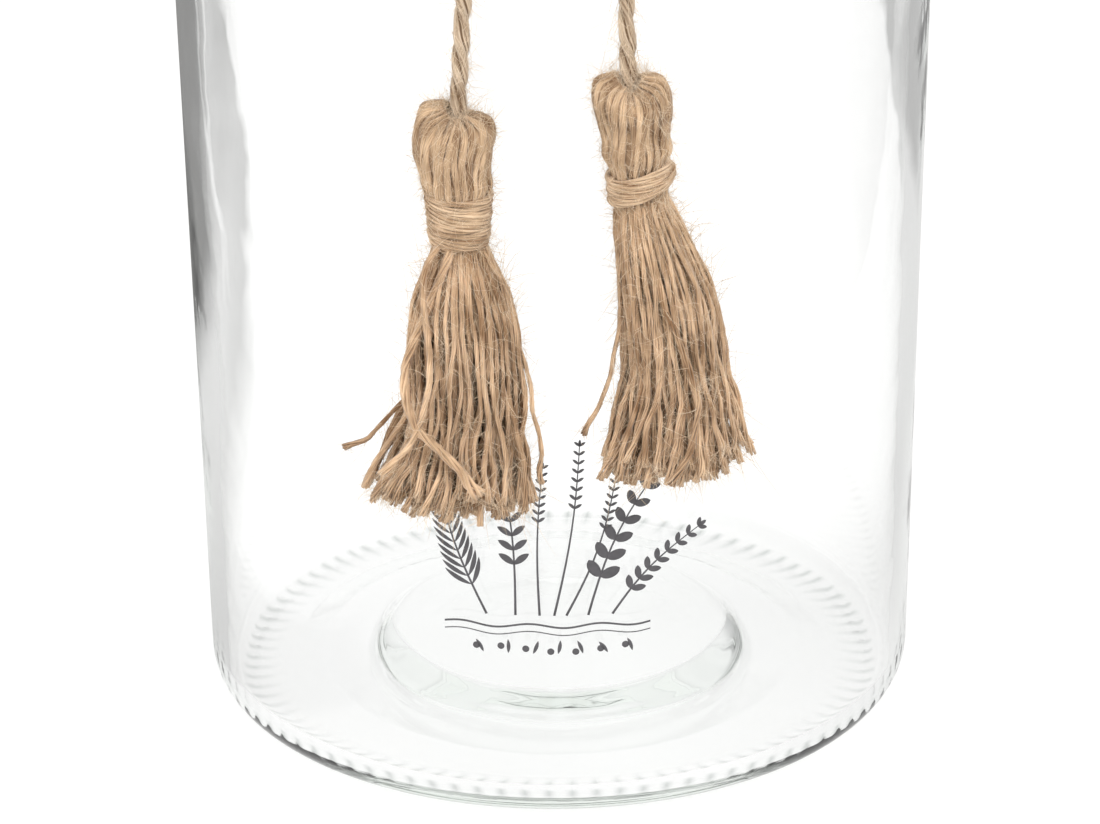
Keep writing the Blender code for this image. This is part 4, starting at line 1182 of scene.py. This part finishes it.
# %% The print's design
FERN = (19, (7.5, 1.15), 0.85, 0.45, 0.9, 0.72)         # pairs, leaf, spread, bend, roundness and taper
LAVENDER = (8, (2.3, 0.85), 0.75, -0.3, 0.75, 0.35, 0.62)
EUCALYPTUS = (8, (5.0, 2.7), 0.95, 0.2, 0.6, 0.5, 0.22)

design = rule(-24, 19, 46.6, 0.45, 3, 0.22) + rule(-24, 19, 44.9, 0.45, 3, 0.12)
design += sprig((-15, 49), (-26, 91), 2.5, *FERN) + sprig((6, 49), (24, 85), 2.6, *EUCALYPTUS)
design += sprig((-9, 49), (-12.5, 87), -1.2, 9, (4.6, 1.7), 0.8, -0.25, 0.8, 0.45, 0.3)
design += sprig((11, 49), (30, 67), 1.8, 8, (3.6, 1.7), 0.9, 0.2, 0.65, 0.45, 0.25)
for foot, tip, sway in ((-4, (-3, 83), 0.8), (-1, (4.5, 88), -1.0), (1.5, (12, 81), -1.6)):
    design += sprig((foot, 49), tip, sway, *LAVENDER)
x = np.linspace(-18, 13, 7)
one = np.ones_like(x)
design.append(leaves(np.stack([x, 41.0 + 0.6 * np.cos(x)], axis=1), 0.3 * one, 1.5 * one, 1.5 * one,
                     0, 0.5))
design.append(leaves(np.stack([x + 2.2, 40.2 * one], axis=1), math.pi / 2 + 0.5 * np.sin(x), 3.2 * one,
                     0.8 * one, 0.3, 0.9))
design = np.concatenate([sheet for group in design for sheet in np.split(group, len(group))])
print("print:", len(design), "sheets, mm:", np.round(design.reshape(-1, 2).min(axis=0), 1),
      np.round(design.reshape(-1, 2).max(axis=0), 1))

# %% [markdown]
# Enamel ink is ground glass with pigment, printed and fired, so it is smooth but less shiny than the jar,
# and a little uneven in strength.

# %% Print material and piece
ENAMEL, tree, output = empty_material("fired_enamel_print")
uneven = add(tree, "TexNoise", {"Vector": add(tree, "TexCoord", out="Object"), "Scale": 1 / (1.2 * MM),
                                "Detail": 2.0})
ink = add(tree, "Mix", {0: uneven, 6: linear("#444345"), 7: linear("#5C5A5E")}, 2, data_type="RGBA")
enamel = add(tree, "BsdfPrincipled", {"Base Color": ink, "Roughness": 0.45})
tree.links.new(enamel, output.inputs["Surface"])
ENAMEL_COAT = 0.03 * MM
ENAMEL_OFF = 0.11 * MM              # clear of the wall's own waves


def print_mesh():
    """The flat sheets wrapped round the wall: the angle is the way across over the wall's radius."""
    x, z = design[..., 0] * MM, design[..., 1] * MM
    out = wall_radius(z) + ENAMEL_OFF
    angle = x / out
    points = np.stack([out * np.sin(angle), -out * np.cos(angle), z], axis=-1)
    sheets, rows, columns = points.shape[:3]
    number = np.arange(sheets * rows * columns).reshape(sheets, rows, columns)
    faces = np.stack([number[:, :-1, :-1], number[:, 1:, :-1], number[:, 1:, 1:], number[:, :-1, 1:]],
                     axis=-1)
    return fill_mesh("enamel_print", points.reshape(-1, 3), [faces.reshape(-1, 4)])


enamel_print = piece(print_mesh(), "jar", ENAMEL)
coat = enamel_print.modifiers.new("coat", "SOLIDIFY")
coat.thickness = ENAMEL_COAT
coat.offset = 0

# %% [markdown]
# ## Floor, world and lamps
# The jar stands on a plain pale floor. A white world and floor, seen straight or through the glass, give
# the photograph's white ground. What the glass mirrors is different: glass has no colour of its own and is
# drawn by what it reflects, so its reflections see a studio with a bright ceiling, a grey horizon and a
# darker side to the left. Lamps and world together light a white sheet to just under white.

# %% Floor
FLOOR_SIDE = 3.0                    # metres
SHADOW_SHARE = 0.3                  # of the floor's light that a shadow can take away
GLOW = 1.12                         # of the rest, so that the two together are just white

floor_mesh = bpy.data.meshes.new("pale_floor")
h = FLOOR_SIDE / 2
floor_mesh.from_pydata([(-h, -h, 0), (h, -h, 0), (h, h, 0), (-h, h, 0)], [], [(0, 1, 2, 3)])
floor_mesh.transform(Matrix.Translation((0, 0, -0.05 * MM)))
floor = bpy.data.objects.new("pale_floor", floor_mesh)
bpy.context.scene.collection.objects.link(floor)

# Matt white paint mirrors nothing, so to the camera the floor shows the shadow and no more. Only to the
# glass does it show painted boards, as painted reflections, and a painted shadow near the jar
FLOOR_PAINT, tree, output = empty_material("matt_white_table")
path = add(tree, "LightPath").node.outputs
mirrored = add(tree, "Math", [path["Glossy Depth"], 0.5], operation="GREATER_THAN")
glow = add(tree, "Emission", {"Color": linear("#FFFFFF"), "Strength": GLOW})
paint = add(tree, "BsdfDiffuse", {"Color": linear("#F2F1EE")})
shaded = add(tree, "MixShader", [SHADOW_SHARE, glow, paint])
spot = add(tree, "TexCoord", out="Object")
x, y, _ = add(tree, "SeparateXYZ", [spot]).node.outputs
noise = add(tree, "TexNoise", {"Vector": spot, "Scale": 9.0, "Detail": 2.0})     # waves of 110 mm
wobble = add(tree, "Math", [noise, 0.5], operation="SUBTRACT")

# %% [markdown]
# Boards that stand about in a studio are what draws clear glass against white. Here they are painted into
# the floor as painted reflections, and only rays that have been mirrored or have gone through glass see
# them. All places are in metres across and away from the camera. A map range gives a value's way from low to
# high as another goes from start to end.

# %% Painted boards that only the glass sees
# Mirrored by the wall, the left board lies behind a line that bends back as it goes out. A white bar
# crosses it, and past the bar it is darker, but not close to the jar
out = add(tree, "Math", [-0.31, x], operation="SUBTRACT")
out = add(tree, "Math", [out, 0.0], operation="MAXIMUM")
bend = add(tree, "Math", [out, out], operation="MULTIPLY")
border = add(tree, "MapRange", [x, -0.15, -0.12, 0.02, -0.10])
edge = add(tree, "Math", [bend, 1.6, border], operation="MULTIPLY_ADD")
past_edge = add(tree, "Math", [y, edge], operation="SUBTRACT")
behind = add(tree, "MapRange", [past_edge, 0.0, 0.012, 0.0, 1.0])
beside = add(tree, "MapRange", [x, -0.080, -0.086, 0.0, 1.0])
on_left = add(tree, "Math", [behind, beside], operation="MULTIPLY")
past_bar = add(tree, "Math", [x, 0.236], operation="ADD")
past_bar = add(tree, "Math", [wobble, 0.10, past_bar], operation="MULTIPLY_ADD")
past_bar = add(tree, "Math", [y, 0.58, past_bar], operation="MULTIPLY_ADD")
off_bar = add(tree, "Math", [past_bar], operation="ABSOLUTE")
bar = add(tree, "MapRange", [off_bar, 0.006, 0.014, 1.0, 0.0])
bar_start = add(tree, "MapRange", [y, 0.09, 0.13, 0.0, 1.0])
bar = add(tree, "Math", [bar, bar_start], operation="MULTIPLY")
darker = add(tree, "MapRange", [past_bar, 0.0, 0.03, 0.34, 0.14])
close = add(tree, "MapRange", [y, 0.15, 0.24, 0.6, 0.0])
beyond = add(tree, "Math", [darker, close], operation="MAXIMUM")
left_board = add(tree, "Math", [beyond, bar], operation="MAXIMUM")
off_left = add(tree, "MapRange", [x, 0.04, 0.14, 1.0, 0.6])
mirrored_painted_boards = add(tree, "Mix", {0: on_left, 2: off_left, 3: left_board})

# Straight through the glass, its border slants out, and it is sharper far away
far = add(tree, "Math", [y, 0.18], operation="SUBTRACT")
far = add(tree, "Math", [far, 0.0], operation="MAXIMUM")
slant = add(tree, "Math", [far, 0.35, 0.13], operation="MULTIPLY_ADD")
slant = add(tree, "Math", [far, slant], operation="MULTIPLY")
inner = add(tree, "Math", [-0.103, slant], operation="SUBTRACT")
inside = add(tree, "Math", [inner, x], operation="SUBTRACT")
softness = add(tree, "MapRange", [y, 0.12, 0.26, 0.028, 0.007])
inside = add(tree, "Math", [inside, softness], operation="DIVIDE")
inside = add(tree, "MapRange", [inside, 0.0, 1.0, 0.0, 1.0])
grey = add(tree, "Math", [wobble, 0.35, 0.45], operation="MULTIPLY_ADD")
painted_boards_through_glass = add(tree, "Mix", {0: inside, 2: 1.0, 3: grey})
painted_reflection_boards = add(tree, "Mix", {0: mirrored, 2: painted_boards_through_glass, 3: mirrored_painted_boards})

# A board far back on the right
start = add(tree, "MapRange", [x, 0.200, 0.212, 0.0, 1.0])
end = add(tree, "MapRange", [x, 0.50, 0.46, 0.0, 1.0])
back = add(tree, "MapRange", [y, 0.27, 0.31, 0.0, 1.0])
end = add(tree, "Math", [end, back], operation="MULTIPLY")
on_right = add(tree, "Math", [start, end], operation="MULTIPLY")
painted_reflection_boards = add(tree, "Mix", {0: on_right, 2: painted_reflection_boards, 3: 0.35})

# %% The floor's shader
# Painted shadow: seen through the glass, the floor glows less close to the jar, under its base, and is
# uneven by the wobble
painted_shadow_level = add(tree, "MapRange", [y, 0.02, 0.12, 1.03, 1.2])
painted_shadow_level = add(tree, "Math", [wobble, 0.12, painted_shadow_level], operation="MULTIPLY_ADD")
in_glass = add(tree, "Emission", {"Strength": add(tree, "Math", [painted_reflection_boards, painted_shadow_level], operation="MULTIPLY")})
shaded_in_glass = add(tree, "MixShader", [0.15, in_glass, paint])
through = add(tree, "Math", [mirrored, path["Is Transmission Ray"]], operation="MAXIMUM")
direct = add(tree, "MixShader", [path["Is Camera Ray"], paint, shaded])
tree.links.new(add(tree, "MixShader", [through, direct, shaded_in_glass]), output.inputs["Surface"])
print("floor:", FLOOR_PAINT.name, len(tree.nodes), "nodes")
floor_mesh.materials.append(FLOOR_PAINT)

# %% World
DIFFUSE_LEVEL = 0.9
world = bpy.data.worlds.new("studio")
bpy.context.scene.world = world
world.use_nodes = True
tree = world.node_tree
tree.nodes.clear()
path = add(tree, "LightPath").node.outputs
mirrored = add(tree, "Math", [path["Glossy Depth"], 0.5], operation="GREATER_THAN")
glossy = add(tree, "Math", [path["Is Glossy Ray"], mirrored], operation="MAXIMUM")
seen = add(tree, "Math", [path["Is Camera Ray"], path["Is Transmission Ray"]], operation="MAXIMUM")
x, _, z = add(tree, "SeparateXYZ", [add(tree, "TexCoord", out="Generated")]).node.outputs
ceiling = add(tree, "MapRange", [z, 0.05, 0.35, 0.8, 1.0])
side = add(tree, "MapRange", [x, -0.75, -0.35, 0.35, 1.0])
studio = add(tree, "Math", [ceiling, side], operation="MULTIPLY")
plain = add(tree, "Mix", {0: seen, 2: DIFFUSE_LEVEL, 3: 1.0})
level = add(tree, "Mix", {0: glossy, 2: plain, 3: studio})
background = add(tree, "Background", {"Color": linear("#FFFFFF"), "Strength": level})
world_output = tree.nodes.new("ShaderNodeOutputWorld")
tree.links.new(background, world_output.inputs["Surface"])
print("world:", world.name, len(tree.nodes), "nodes")


# %% Lamps
def soft_lamp(name, place_at, aim, size, power):
    """A square area lamp that faces its aim."""
    data = bpy.data.lights.new(name, "AREA")
    data.size, data.energy = size, power
    lamp = bpy.data.objects.new(name, data)
    bpy.context.scene.collection.objects.link(lamp)
    lamp.location = place_at
    lamp.rotation_euler = (Vector(aim) - lamp.location).to_track_quat("-Z", "Y").to_euler()
    lamp.visible_glossy = lamp.visible_transmission = False     # no bright square in the glass
    return lamp


soft_lamp("key_lamp", (0.55, -1.1, 1.25), (0, 0, 0.12), 0.7, 13)
soft_lamp("fill_lamp", (-1.0, -0.7, 0.8), (0, 0, 0.12), 0.9, 6)
bpy.context.scene.view_settings.view_transform = "Standard"
# Light goes round and round inside a thick glass heel, so its paths may be long before they are cut off
bpy.context.scene.cycles.max_bounces = 24
bpy.context.scene.cycles.glossy_bounces = 16
bpy.context.scene.cycles.transmission_bounces = 24
